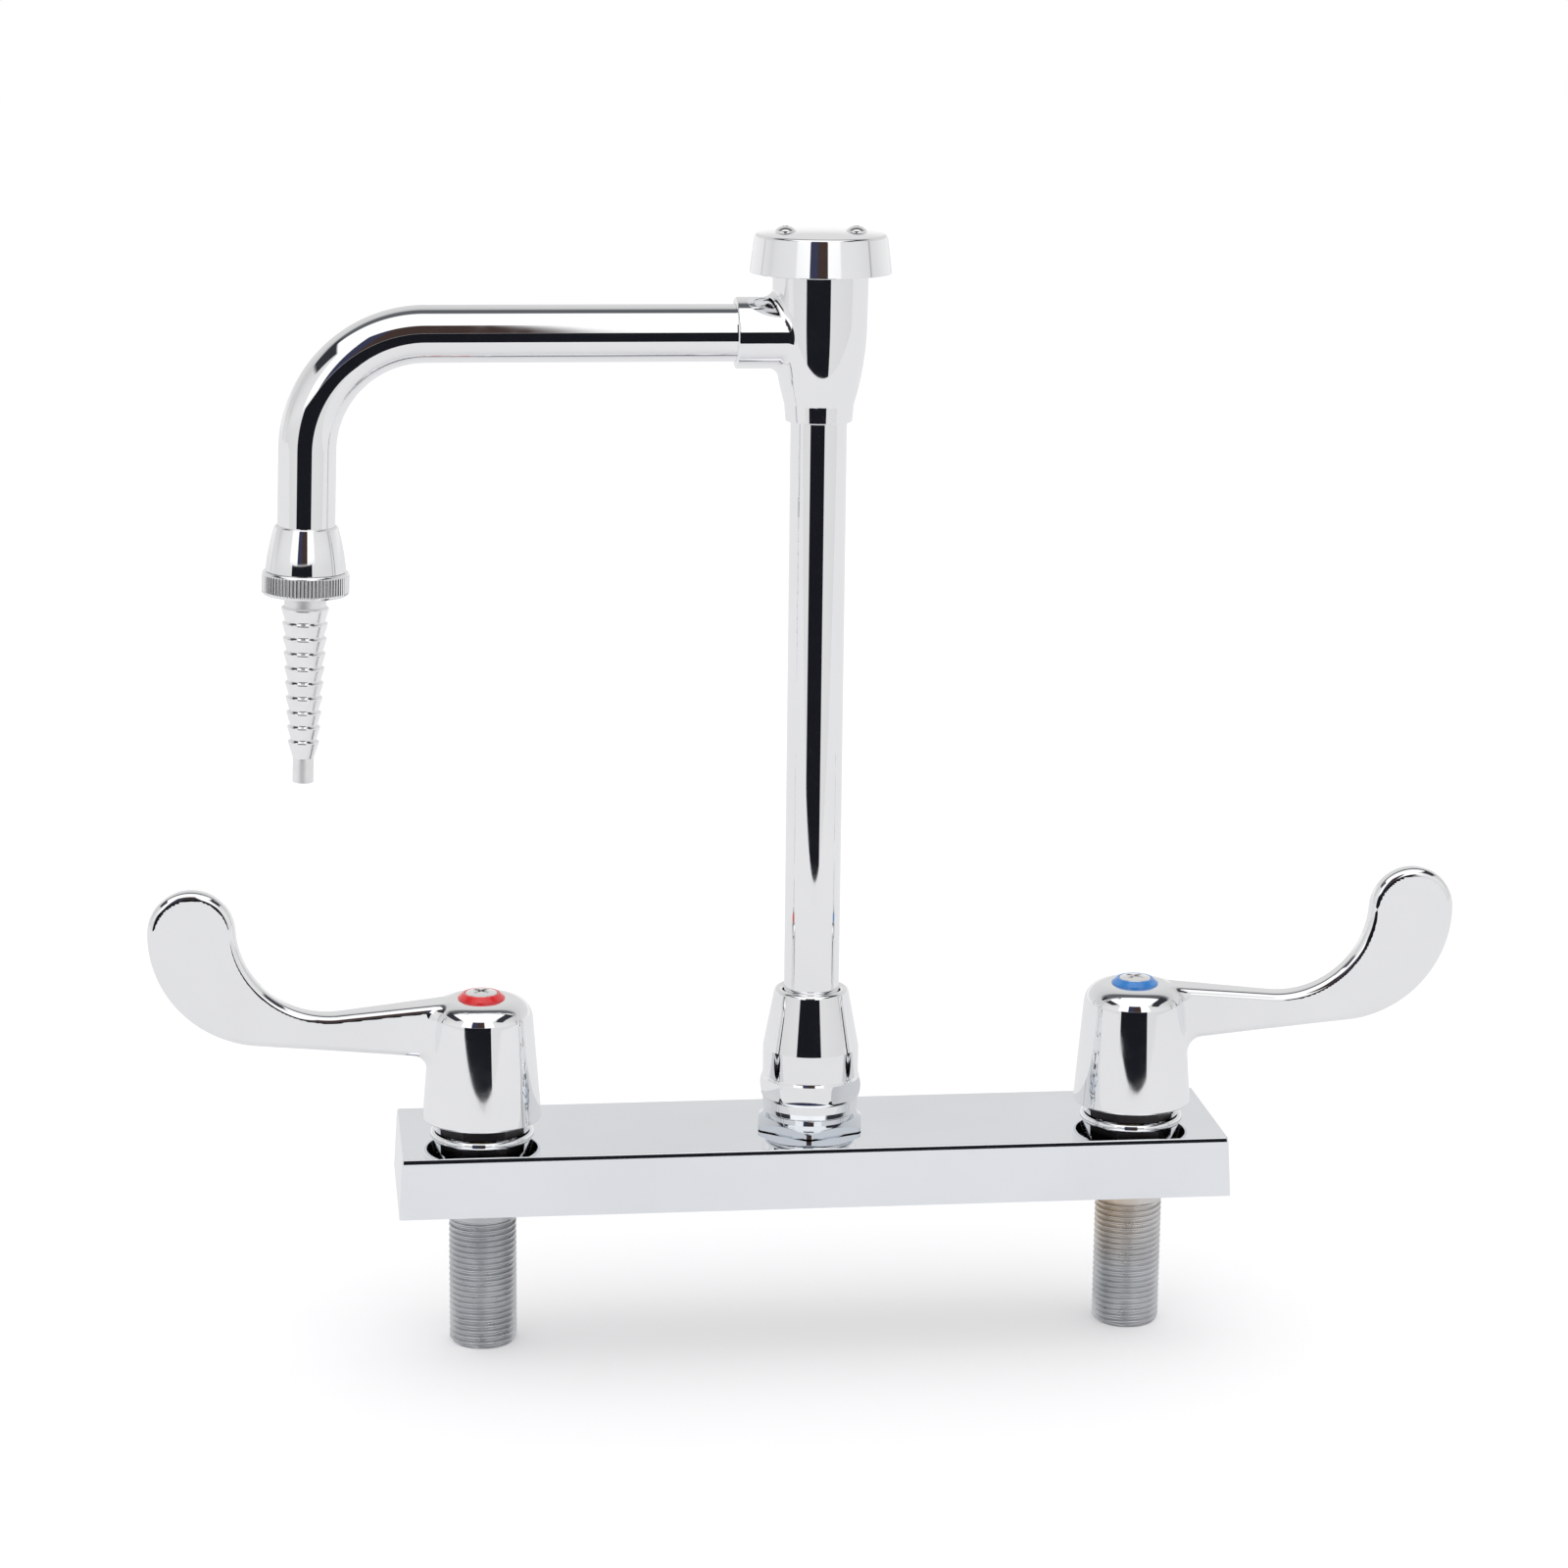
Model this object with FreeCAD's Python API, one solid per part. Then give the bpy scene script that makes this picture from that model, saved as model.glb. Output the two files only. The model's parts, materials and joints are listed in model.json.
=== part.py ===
import FreeCAD, Part
import math
import os

# Deck-mounted laboratory faucet with two wrist-blade handles, a swinging riser spout,
# an atmospheric vacuum breaker and a serrated hose nozzle.
# Millimetres. Origin on the deck plane under the riser, +X towards the cold side,
# +Z up, the user stands on the -Y side.

Vector = FreeCAD.Vector
UP = Vector(0, 0, 1)
ORIGIN = Vector(0, 0, 0)

# Clearances
seat_gap = 0.05
running_gap = 0.06
swing_gap = 0.3
thread_gap = 0.05
skin_tolerance = 0.002

# Deck body
body_end_overhang = 26.4
body_width = 54.4
body_height = 18.6
body_draft_angle = 3.2
body_edge_radius = 0.8
valve_spacing = 203.2
gallery_radius = 4.0
gallery_height = 9.6

# Deck gasket in the underside recess
gasket_thickness = 2.0
gasket_rim = 5.0
gasket_corner_radius = 3.0

# Supply shanks
shank_radius = 10.45
shank_collar_radius = 11.0
shank_collar_drop = 7.4
shank_drop = 48.7
shank_end_chamfer = 1.1
shank_top_height = 5.0
inlet_bore_radius = 6.6
inlet_bore_length = 40.0
shank_port_radius = 5.5

# Valve pocket, cartridge and bonnet
chamber_radius = 11.5
cartridge_ledge_depth = 4.6
bonnet_thread_radius = 13.0
cartridge_flange_thickness = 1.6
cartridge_radius = 8.95
cartridge_bore_radius = 7.6
cartridge_top_drop = 4.0
seat_seal_thickness = 1.4
seat_seal_bore_radius = 4.8
disc_thickness = 1.8
disc_port_inner_radius = 1.6
disc_port_outer_radius = 5.8
disc_port_angle = 80.0
drive_prong_width = 3.0
drive_prong_depth = 1.4
window_width = 7.0
window_height = 3.6
stem_flange_lift = 3.3
stem_radius = 4.5
stem_flange_thickness = 2.0
stem_top_drop = 4.4
stem_square = 6.2
stem_square_length = 12.0
o_ring_section_radius = 0.89
stem_o_ring_drop = 6.0
clip_thickness = 1.0
clip_radius = 6.2
clip_groove_depth = 0.7
bonnet_flange_radius = 16.0
bonnet_flange_thickness = 1.45
bonnet_flange_rounding = 1.4
bonnet_hex_across_flats = 22.2
bonnet_hex_height = 6.0

# Handle hub
hub_lift = 3.6
hub_height = 37.7
hub_bottom_radius = 18.26
hub_side_angle = 4.6
hub_shoulder_rounding = 6.5
hub_rim_rounding = 0.5
hub_rim_width = 1.15
hub_wall = 2.6
hub_crown_thickness = 17.4
handle_screw_radius = 2.0

# Wrist blade
blade_reach = 100.4
blade_rise = 35.6
blade_tip_radius = 13.2
blade_outer_arc_radius = 35.0
blade_inner_arc_radius = 28.0
blade_outer_arc_turn = 2.0
blade_inner_arc_turn = 2.6
blade_neck_top_slope = 5.8
blade_neck_bottom_slope = 4.5
blade_root_reach = 9.0
blade_root_thickness = 12.0
blade_neck_thickness = 7.6
blade_tip_thickness = 5.6
blade_edge_rounding = 2.3
blade_root_fillet = 5.0

# Index ring and handle screw
index_ring_radius = 7.25
index_ring_bore_radius = 4.95
index_ring_height = 2.1
index_ring_edge = 0.5
screw_head_radius = 4.8
screw_head_rim = 0.9
screw_head_height = 2.7
screw_length = 16.0

# Centre adapter
adapter_across_flats = 31.75
adapter_corner_radius = 17.9
adapter_foot_radius = 15.0
adapter_foot_height = 0.2
adapter_hex_height = 3.5
adapter_chamfer_radius = 14.6
adapter_chamfer_angle = 30.0
adapter_hex_turn = 22.0
adapter_port_radius = 11.0
adapter_thread_depth = 4.4
centre_port_floor = 4.0
adapter_neck_radius = 12.7
adapter_neck_rise = 17.4

# Swivel spud inside the adapter
spud_radius = 9.0
spud_tail_length = 3.6
spud_bore_radius = 5.6
spud_collar_radius = 11.2
spud_collar_thickness = 3.0
spud_nipple_length = 7.0
spud_o_ring_rises = (4.4, 10.4)
o_ring_groove_width = 2.4

# Conical spout nut
nut_lift = 3.1
nut_end_radius = 14.2
nut_radius = 14.76
nut_foot_height = 3.6
nut_hex_height = 5.6
nut_hex_across_flats = 27.2
nut_hex_turn = 16.5
nut_bead_height = 7.6
nut_bead_radius = 15.65
nut_skirt_height = 18.8
nut_height = 37.3
nut_top_radius = 11.28
nut_lip_radius = 1.3
friction_ring_thickness = 2.0

# Riser and arm tubes
riser_radius = 8.45
tube_wall = 1.0
arm_radius = 8.55
arm_height = 264.4
arm_reach = 150.9
bend_radius = 35.0
leg_lean = 1.6
arm_socket_depth = 9.9
riser_socket_depth = 10.0

# Vacuum breaker body
vb_drop = 26.4
vb_collar_height = 5.0
vb_collar_bottom_radius = 10.0
vb_collar_top_radius = 10.4
vb_shoulder_rise = 2.6
vb_shoulder_radius = 14.06
vb_rise = 21.1
vb_top_radius = 14.35
vb_chamber_drop = 7.9
vb_chamber_radius = 11.6
vb_inlet_radius = 6.8
vb_seat_lip_width = 1.4
vb_seat_lip_height = 1.2
vb_boss_radius = 10.65
vb_boss_reach = 25.4
vb_boss_fillet = 3.0
vb_outlet_radius = 7.0

# Vacuum breaker bonnet, cap and float
bonnet_gasket_thickness = 1.0
vb_bonnet_bore_radius = 9.2
vb_bonnet_flange_radius = 14.2
vb_bonnet_flange_thickness = 2.5
vb_bonnet_web = 3.0
air_hole_count = 6
air_hole_radius = 1.7
air_hole_circle_radius = 6.2
cap_overlap = 3.3
cap_bottom_radius = 21.2
cap_side_height = 11.5
cap_shoulder_radius = 19.7
cap_edge_rounding = 1.1
cap_crown_rise = 0.9
cap_wall = 1.9
cap_roof = 1.7
cap_screw_spacing = 21.2
cap_screw_radius = 1.6
cap_screw_head_radius = 3.1
cap_screw_head_rim = 0.9
cap_screw_head_height = 2.6
cap_screw_recess = 0.7
cap_screw_length = 6.0
cap_post_radius = 2.8
float_lift = 11.0
float_radius = 9.8
float_disc_thickness = 3.2
float_seal_thickness = 1.5
float_seal_radius = 9.2
float_stem_radius = 2.0
float_stem_proud = 2.5
float_wing_radius = 6.5
float_wing_thickness = 1.6
float_wing_length = 13.0

# Outlet coupling and serrated nozzle, measured down the leg from the bend's corner
coupling_top = 56.6
coupling_length = 13.6
coupling_top_radius = 9.4
coupling_mid_radius = 11.0
coupling_bottom_radius = 12.0
coupling_lip_radius = 0.6
coupling_socket_depth = 6.4
coupling_web = 2.2
nozzle_thread_radius = 8.0
nozzle_washer_thickness = 1.2
nozzle_washer_bore_radius = 5.0
collar_radius = 12.95
collar_length = 6.9
collar_chamfer = 0.5
nozzle_neck_radius = 6.2
barb_count = 10
nozzle_neck_length = 4.1
barb_pitch = 4.5
barb_first_radius = 7.05
barb_last_radius = 4.66
barb_depth = 1.1
barb_shoulder = 0.5
barb_land = 0.35
barb_tail_length = 5.2
nozzle_tip_length = 7.45
nozzle_tip_radius = 3.14
nozzle_bore_radius = 2.3
nozzle_mouth_radius = 5.0

# Derived places: valves and levers
half_spacing = valve_spacing / 2
body_length = valve_spacing + 2 * body_end_overhang
bonnet_flange_top = body_height + seat_gap + bonnet_flange_thickness
hub_bottom_height = bonnet_flange_top + hub_lift
hub_top_height = hub_bottom_height + hub_height
hub_cavity_top = hub_top_height - hub_crown_thickness
blade_top_height = hub_top_height + blade_rise
cartridge_ledge_height = body_height - cartridge_ledge_depth
valve_clamp_height = cartridge_ledge_height + cartridge_flange_thickness
cartridge_top = hub_cavity_top - cartridge_top_drop
seal_top = shank_top_height + seat_seal_thickness
fixed_disc_top = seal_top + disc_thickness
moving_disc_bottom = fixed_disc_top + seat_gap
moving_disc_top = moving_disc_bottom + disc_thickness
stem_flange_bottom = moving_disc_top + stem_flange_lift
cartridge_bore_top = stem_flange_bottom + stem_flange_thickness + seat_gap
stem_top = hub_top_height - stem_top_drop
stem_o_ring_height = cartridge_top - stem_o_ring_drop
stem_bore_radius = stem_radius + running_gap

# Derived places: centre swivel, nut and riser
adapter_hex_top = body_height + adapter_hex_height
adapter_neck_top = body_height + adapter_neck_rise
spud_bottom = body_height - spud_tail_length
spud_o_ring_heights = [body_height + rise for rise in spud_o_ring_rises]
nut_bottom = adapter_hex_top + nut_lift
nut_hex_bottom = nut_bottom + nut_foot_height
nut_hex_top = nut_hex_bottom + nut_hex_height
nut_cone_bottom = nut_bottom + nut_skirt_height
nut_cone_top = nut_bottom + nut_height
collar_seat = adapter_neck_top + seat_gap
riser_bottom = collar_seat + spud_collar_thickness
friction_ring_bottom = riser_bottom + seat_gap
nut_shoulder = friction_ring_bottom + friction_ring_thickness + seat_gap

# Derived places: vacuum breaker, measured from the arm's axis
vb_bottom = arm_height - vb_drop
vb_shoulder_height = arm_height + vb_shoulder_rise
vb_top = arm_height + vb_rise
vb_chamber_floor = arm_height - vb_chamber_drop
cap_bottom = vb_top - cap_overlap
cap_shoulder_height = cap_bottom + cap_side_height
cap_crown_height = cap_shoulder_height + cap_crown_rise
riser_top = vb_bottom + riser_socket_depth
float_rest = vb_chamber_floor + vb_seat_lip_height + seat_gap
float_disc_bottom = float_rest + float_seal_thickness
float_top = float_disc_bottom + float_disc_thickness
bonnet_bottom = float_top + float_lift + seat_gap
bonnet_web_top = bonnet_bottom + vb_bonnet_web
float_stem_top = bonnet_web_top + float_stem_proud
vb_bonnet_flange_bottom = vb_top + bonnet_gasket_thickness
vb_bonnet_flange_top = vb_bonnet_flange_bottom + vb_bonnet_flange_thickness
cap_underside = cap_shoulder_height - cap_roof

# Derived places: down the leg
coupling_bottom = coupling_top + coupling_length
coupling_socket_end = coupling_top + coupling_socket_depth
washer_top = coupling_socket_end + coupling_web
nozzle_top = washer_top + nozzle_washer_thickness
collar_top = coupling_bottom + seat_gap
collar_bottom = collar_top + collar_length
barb_first = collar_bottom + nozzle_neck_length
barb_last = barb_first + barb_pitch * (barb_count - 1)
nozzle_tip_start = barb_last + barb_tail_length


def face_from_outline(start, steps):
    """Closed face in the XZ plane. A step is a point, or a mid point and an end point of an arc."""
    edges = []
    here = Vector(start[0], 0, start[1])
    first = here
    for step in steps:
        if isinstance(step[0], tuple):
            middle = Vector(step[0][0], 0, step[0][1])
            there = Vector(step[1][0], 0, step[1][1])
            edges.append(Part.Arc(here, middle, there).toShape())
        else:
            there = Vector(step[0], 0, step[1])
            edges.append(Part.makeLine(here, there))
        here = there
    edges.append(Part.makeLine(here, first))
    return Part.Face(Part.Wire(edges))


def turned(start, *steps):
    """Solid of revolution about Z from an outline of (radius, height) points."""
    return face_from_outline(start, steps).revolve(ORIGIN, UP, 360)


def tube(outer, inner, bottom, top):
    outside = Part.makeCylinder(outer, top - bottom, Vector(0, 0, bottom))
    inside = Part.makeCylinder(inner, top - bottom, Vector(0, 0, bottom))
    return outside.cut(inside)


def rod(radius, bottom, top, x=0.0, y=0.0):
    return Part.makeCylinder(radius, top - bottom, Vector(x, y, bottom))


def rounded(before, corner, after, radius):
    """Two steps past a corner of an outline: to the start of its rounding, and round it."""
    back = Vector(before[0] - corner[0], 0, before[1] - corner[1]).normalize()
    ahead = Vector(after[0] - corner[0], 0, after[1] - corner[1]).normalize()
    half_angle = back.getAngle(ahead) / 2
    setback = radius / math.tan(half_angle)
    point = Vector(corner[0], 0, corner[1])
    inward = (back + ahead).normalize()
    middle = point + inward * (radius / math.sin(half_angle) - radius)
    start = point + back * setback
    end = point + ahead * setback
    return [(start.x, start.z), ((middle.x, middle.z), (end.x, end.z))]


def smooth_arc(start, end, beyond):
    """Arc step from start to end that runs on without a crease towards the point beyond."""
    first = Vector(start[0], 0, start[1])
    last = Vector(end[0], 0, end[1])
    chord = first - last
    heading = Vector(beyond[0] - end[0], 0, beyond[1] - end[1]).normalize()
    normal = Vector(-heading.z, 0, heading.x)
    radius = chord.Length ** 2 / (2 * normal.dot(chord))
    centre = last + normal * radius
    middle = centre + ((first - centre) + (last - centre)).normalize() * abs(radius)
    return ((middle.x, middle.z), end)


def dome_height(radius, rim_height, top_height, reach):
    """Height at a distance from the axis on a round dome over a rim."""
    rise = top_height - rim_height
    sphere_radius = (radius ** 2 + rise ** 2) / (2 * rise)
    return top_height - sphere_radius + math.sqrt(sphere_radius ** 2 - reach ** 2)


def dome(radius, rim_height, top_height):
    """Arc step from a rim up to the crown on the axis."""
    reach = radius / 2
    return ((reach, dome_height(radius, rim_height, top_height, reach)), (0, top_height))


def o_ring(shaft_radius, height):
    """Seal that lies in its groove and stands half the running gap proud of the shaft."""
    centre_radius = shaft_radius + running_gap / 2 - o_ring_section_radius
    return Part.makeTorus(centre_radius, o_ring_section_radius, Vector(0, 0, height))


def o_ring_groove(shaft_radius, height):
    half = o_ring_groove_width / 2
    return tube(shaft_radius, shaft_radius - 2 * o_ring_section_radius, height - half, height + half)


def seam_edges(joined, first, second):
    """Edges of a fused solid that lie on the skins of both of its parts."""
    seam = []
    for edge in joined.Edges:
        middle = Part.Vertex(edge.valueAt((edge.FirstParameter + edge.LastParameter) / 2))
        if all(middle.distToShape(solid.Shells[0])[0] < skin_tolerance for solid in (first, second)):
            seam.append(edge)
    return seam


def hex_prism(across_flats, bottom, top, turn=0.0):
    """Hexagonal bar with a corner at the angle turn from +X."""
    corner_radius = across_flats / math.sqrt(3)
    corners = []
    for index in range(7):
        angle = math.radians(turn + 60 * index)
        corners.append(Vector(corner_radius * math.cos(angle), corner_radius * math.sin(angle), bottom))
    return Part.Face(Part.makePolygon(corners)).extrude(Vector(0, 0, top - bottom))


def rectangle(length, width, height):
    x = length / 2
    y = width / 2
    corners = [Vector(-x, -y, height), Vector(x, -y, height), Vector(x, y, height), Vector(-x, y, height)]
    return Part.makePolygon(corners + corners[:1])


def rounded_plate(length, width, corner, bottom, top):
    plate = Part.Face(rectangle(length, width, bottom)).extrude(Vector(0, 0, top - bottom))
    upright = [edge for edge in plate.Edges if edge.BoundBox.ZLength > (top - bottom) / 2]
    return plate.makeFillet(corner, upright)


# Deck body, gasket and shanks

def deck_body():
    inset = 2 * body_height * math.tan(math.radians(body_draft_angle))
    foot = rectangle(body_length, body_width, 0)
    crown = rectangle(body_length - inset, body_width - inset, body_height)
    slab = Part.makeLoft([foot, crown], True, True)
    upper_edges = [edge for edge in slab.Edges if edge.BoundBox.ZMax > body_height / 2]
    slab = slab.makeFillet(body_edge_radius, upper_edges)
    recess = rounded_plate(body_length - 2 * gasket_rim, body_width - 2 * gasket_rim,
                           gasket_corner_radius + swing_gap, 0, gasket_thickness)
    cuts = [recess]
    for x in (-half_spacing, half_spacing):
        cuts.append(rod(shank_collar_radius + thread_gap, 0, shank_top_height, x))
        cuts.append(rod(chamber_radius, shank_top_height, cartridge_ledge_height, x))
        cuts.append(rod(bonnet_thread_radius, cartridge_ledge_height, body_height, x))
    cuts.append(rod(adapter_port_radius, centre_port_floor, body_height))
    gallery_start = Vector(-half_spacing, 0, gallery_height)
    cuts.append(Part.makeCylinder(gallery_radius, valve_spacing, gallery_start, Vector(1, 0, 0)))
    return slab.cut(cuts)


def deck_gasket():
    length = body_length - 2 * gasket_rim - 2 * swing_gap
    width = body_width - 2 * gasket_rim - 2 * swing_gap
    plate = rounded_plate(length, width, gasket_corner_radius, 0, gasket_thickness)
    hole_radius = shank_collar_radius + swing_gap
    holes = [rod(hole_radius, 0, gasket_thickness, x) for x in (-half_spacing, half_spacing)]
    return plate.cut(holes)


def supply_shank():
    thread_bottom = -shank_drop + shank_end_chamfer
    shank = turned((shank_port_radius, shank_top_height), (shank_collar_radius, shank_top_height),
                   (shank_collar_radius, -shank_collar_drop), (shank_radius, -shank_collar_drop),
                   (shank_radius, thread_bottom), (shank_radius - shank_end_chamfer, -shank_drop),
                   (inlet_bore_radius, -shank_drop), (inlet_bore_radius, inlet_bore_length - shank_drop),
                   (shank_port_radius, inlet_bore_length - shank_drop))
    return shank


# Quarter-turn ceramic cartridge

def seat_seal():
    return tube(cartridge_bore_radius - swing_gap, seat_seal_bore_radius, shank_top_height, seal_top)


def port_sector(bottom, top, direction):
    """Kidney-shaped waterway through a disc, centred on the given direction in degrees."""
    wedge = Part.makeCylinder(disc_port_outer_radius, top - bottom, Vector(0, 0, bottom), UP, disc_port_angle)
    wedge = wedge.cut(rod(disc_port_inner_radius, bottom, top))
    wedge.rotate(ORIGIN, UP, direction - disc_port_angle / 2)
    return wedge


def drive_prongs(bottom, top, gap):
    """Two keys on the rim of the moving disc, at the front and the back."""
    width = drive_prong_width + 2 * gap
    reach = cartridge_bore_radius - running_gap
    bar = Part.makeBox(width, 2 * reach, top - bottom, Vector(-width / 2, -reach, bottom))
    core = rod(reach - drive_prong_depth - gap, bottom, top)
    return bar.common(rod(reach, bottom, top)).cut(core)


def fixed_disc():
    disc = rod(cartridge_bore_radius - seat_gap, seal_top, fixed_disc_top)
    return disc.cut([port_sector(seal_top, fixed_disc_top, 0), port_sector(seal_top, fixed_disc_top, 180)])


def moving_disc():
    disc = rod(cartridge_bore_radius - running_gap, moving_disc_bottom, moving_disc_top)
    ports = [port_sector(moving_disc_bottom, moving_disc_top, side) for side in (90, 270)]
    return disc.cut(ports + [drive_prongs(moving_disc_bottom, moving_disc_top, running_gap)])


def cartridge_sleeve():
    flange_radius = bonnet_thread_radius - thread_gap
    bottom = shank_top_height + seat_gap
    sleeve = turned((cartridge_bore_radius, bottom), (cartridge_radius, bottom),
                    (cartridge_radius, cartridge_ledge_height), (flange_radius, cartridge_ledge_height),
                    (flange_radius, valve_clamp_height), (cartridge_radius, valve_clamp_height),
                    (cartridge_radius, cartridge_top), (stem_bore_radius, cartridge_top),
                    (stem_bore_radius, cartridge_bore_top), (cartridge_bore_radius, cartridge_bore_top))
    window_bottom = moving_disc_top
    span = 2 * cartridge_radius
    across = Part.makeBox(span, window_width, window_height,
                          Vector(-span / 2, -window_width / 2, window_bottom))
    along = Part.makeBox(window_width, span, window_height,
                         Vector(-window_width / 2, -span / 2, window_bottom))
    return sleeve.cut([across, along])


def stem():
    body = rod(stem_radius, stem_flange_bottom, stem_top)
    flange = rod(cartridge_bore_radius - running_gap, stem_flange_bottom,
                 stem_flange_bottom + stem_flange_thickness)
    prongs = drive_prongs(moving_disc_bottom + running_gap, stem_flange_bottom, 0)
    body = body.fuse([flange, prongs]).removeSplitter()
    square_bottom = stem_top - stem_square_length
    square_stock = rod(stem_radius, square_bottom, stem_top)
    half = stem_square / 2
    square = Part.makeBox(stem_square, stem_square, stem_square_length, Vector(-half, -half, square_bottom))
    clip_bottom = cartridge_top + seat_gap
    clip_groove = tube(stem_radius, stem_radius - clip_groove_depth, clip_bottom,
                       clip_bottom + clip_thickness)
    screw_floor = hub_top_height - screw_length - seat_gap
    screw_hole = rod(handle_screw_radius + thread_gap, screw_floor, stem_top)
    return body.cut([square_stock.cut(square), o_ring_groove(stem_radius, stem_o_ring_height), clip_groove,
                     screw_hole])


def stem_o_ring():
    return o_ring(stem_radius, stem_o_ring_height)


def stem_clip():
    bottom = cartridge_top + seat_gap
    clip = tube(clip_radius, stem_radius - clip_groove_depth, bottom, bottom + clip_thickness)
    mouth = stem_radius
    return clip.cut(Part.makeBox(clip_radius, mouth, clip_thickness, Vector(0, -mouth / 2, bottom)))


def bonnet_nut():
    flange_bottom = body_height + seat_gap
    flange_top = bonnet_flange_top
    edge = bonnet_flange_rounding
    rim = bonnet_flange_radius
    bore = cartridge_radius + thread_gap
    thread = bonnet_thread_radius - thread_gap
    ring = turned((bore, valve_clamp_height), (thread, valve_clamp_height), (thread, flange_bottom),
                  (rim, flange_bottom),
                  *rounded((rim, flange_bottom), (rim, flange_top), (bore, flange_top), edge),
                  (bore, flange_top))
    top = flange_top + bonnet_hex_height
    hexagon = hex_prism(bonnet_hex_across_flats, flange_top, top)
    return ring.fuse(hexagon.cut(rod(bore, flange_top, top)))


# Wrist-blade handle, lever towards -X

def hub_side_radius(height):
    return hub_bottom_radius - (height - hub_bottom_height) * math.tan(math.radians(hub_side_angle))


def hub_outside():
    low = (hub_bottom_radius, hub_bottom_height)
    high = (hub_side_radius(hub_top_height), hub_top_height)
    foot = (0, hub_bottom_height)
    crown = (0, hub_top_height)
    return turned(foot, *rounded(foot, low, high, hub_rim_rounding),
                  *rounded(low, high, crown, hub_shoulder_rounding), crown)


def blade_outline():
    """Side view of the lever: a neck that sweeps up into a round-ended paddle."""
    tip = (blade_reach - blade_tip_radius, blade_top_height - blade_tip_radius)

    def on_circle(centre, radius, degrees):
        angle = math.radians(degrees)
        return (centre[0] + radius * math.cos(angle), centre[1] + radius * math.sin(angle))

    outer = on_circle(tip, blade_outer_arc_radius - blade_tip_radius, 180 + blade_outer_arc_turn)
    inner = on_circle(tip, blade_inner_arc_radius + blade_tip_radius, 180 - blade_inner_arc_turn)
    top_angle = -90 - blade_neck_top_slope
    bottom_angle = -90 + blade_neck_bottom_slope
    neck_top = on_circle(inner, blade_inner_arc_radius, top_angle)
    neck_bottom = on_circle(outer, blade_outer_arc_radius, bottom_angle)
    inner_end = on_circle(inner, blade_inner_arc_radius, -blade_inner_arc_turn)
    inner_mid = on_circle(inner, blade_inner_arc_radius, (top_angle - blade_inner_arc_turn) / 2)
    tip_mid = on_circle(tip, blade_tip_radius, 90 + (blade_outer_arc_turn - blade_inner_arc_turn) / 2)
    tip_end = on_circle(tip, blade_tip_radius, blade_outer_arc_turn)
    outer_mid = on_circle(outer, blade_outer_arc_radius, (blade_outer_arc_turn + bottom_angle) / 2)
    root_top = neck_top[1] + (neck_top[0] - blade_root_reach) * math.tan(math.radians(blade_neck_top_slope))
    root_bottom = neck_bottom[1] - ((neck_bottom[0] - blade_root_reach)
                                    * math.tan(math.radians(blade_neck_bottom_slope)))
    start = (blade_root_reach, root_top)
    steps = [neck_top, (inner_mid, inner_end), (tip_mid, tip_end), (outer_mid, neck_bottom),
             (blade_root_reach, root_bottom)]
    return start, steps


def blade():
    start, steps = blade_outline()
    side = face_from_outline(start, steps)
    side.translate(Vector(0, -blade_root_thickness, 0))
    plate = side.extrude(Vector(0, 2 * blade_root_thickness, 0))
    neck_reach = blade_reach - blade_tip_radius - blade_outer_arc_radius
    stations = [(blade_root_reach, blade_root_thickness), (neck_reach, blade_neck_thickness),
                (blade_reach, blade_tip_thickness)]
    front = Part.BSplineCurve()
    front.interpolate([Vector(reach, -thickness / 2, 0) for reach, thickness in stations])
    back = Part.BSplineCurve()
    back.interpolate([Vector(reach, thickness / 2, 0) for reach, thickness in stations])
    front_edge = front.toShape()
    back_edge = back.toShape()
    ends = [Part.makeLine(front.EndPoint, back.EndPoint), Part.makeLine(front.StartPoint, back.StartPoint)]
    plan = Part.Face(Part.Wire(Part.__sortEdges__([front_edge, back_edge] + ends)))
    taper = plan.extrude(Vector(0, 0, blade_top_height + blade_tip_radius))
    shape = plate.common(taper)
    rims = []
    for edge in shape.Edges:
        box = edge.BoundBox
        at_root = box.XMax < blade_root_reach + seat_gap
        upright = box.YMin * box.YMax < 0
        if not at_root and not upright:
            rims.append(edge)
    return shape.makeFillet(blade_edge_rounding, rims)


def handle():
    lever = blade()
    lever.rotate(ORIGIN, UP, 180)
    hub = hub_outside()
    joined = hub.fuse(lever)
    joined = joined.makeFillet(blade_root_fillet, seam_edges(joined, hub, lever))
    cavity = turned((0, hub_bottom_height), (hub_bottom_radius - hub_rim_width, hub_bottom_height),
                    (hub_side_radius(hub_cavity_top) - hub_wall, hub_cavity_top), (0, hub_cavity_top))
    side = stem_square + 2 * seat_gap
    socket_top = stem_top + seat_gap
    socket = Part.makeBox(side, side, socket_top - hub_cavity_top,
                          Vector(-side / 2, -side / 2, hub_cavity_top))
    relief_top = stem_top - stem_square_length + seat_gap
    relief = rod(stem_radius + seat_gap, hub_cavity_top, relief_top)
    screw_hole = rod(handle_screw_radius + swing_gap, socket_top, hub_top_height)
    return joined.cut([cavity, socket, relief, screw_hole])


def index_ring():
    bottom = hub_top_height
    top = bottom + index_ring_height
    return turned((index_ring_bore_radius, bottom), (index_ring_radius, bottom),
                  (index_ring_radius, bottom + index_ring_edge),
                  (index_ring_bore_radius + index_ring_edge, top), (index_ring_bore_radius, top))


def domed_screw(head_radius, head_rim, head_height, shank_radius, seat, length):
    """Screw with a domed head on its seat and a plain shank below it."""
    return turned((0, seat - length), (shank_radius, seat - length), (shank_radius, seat),
                  (head_radius, seat), (head_radius, seat + head_rim),
                  dome(head_radius, seat + head_rim, seat + head_height))


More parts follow.
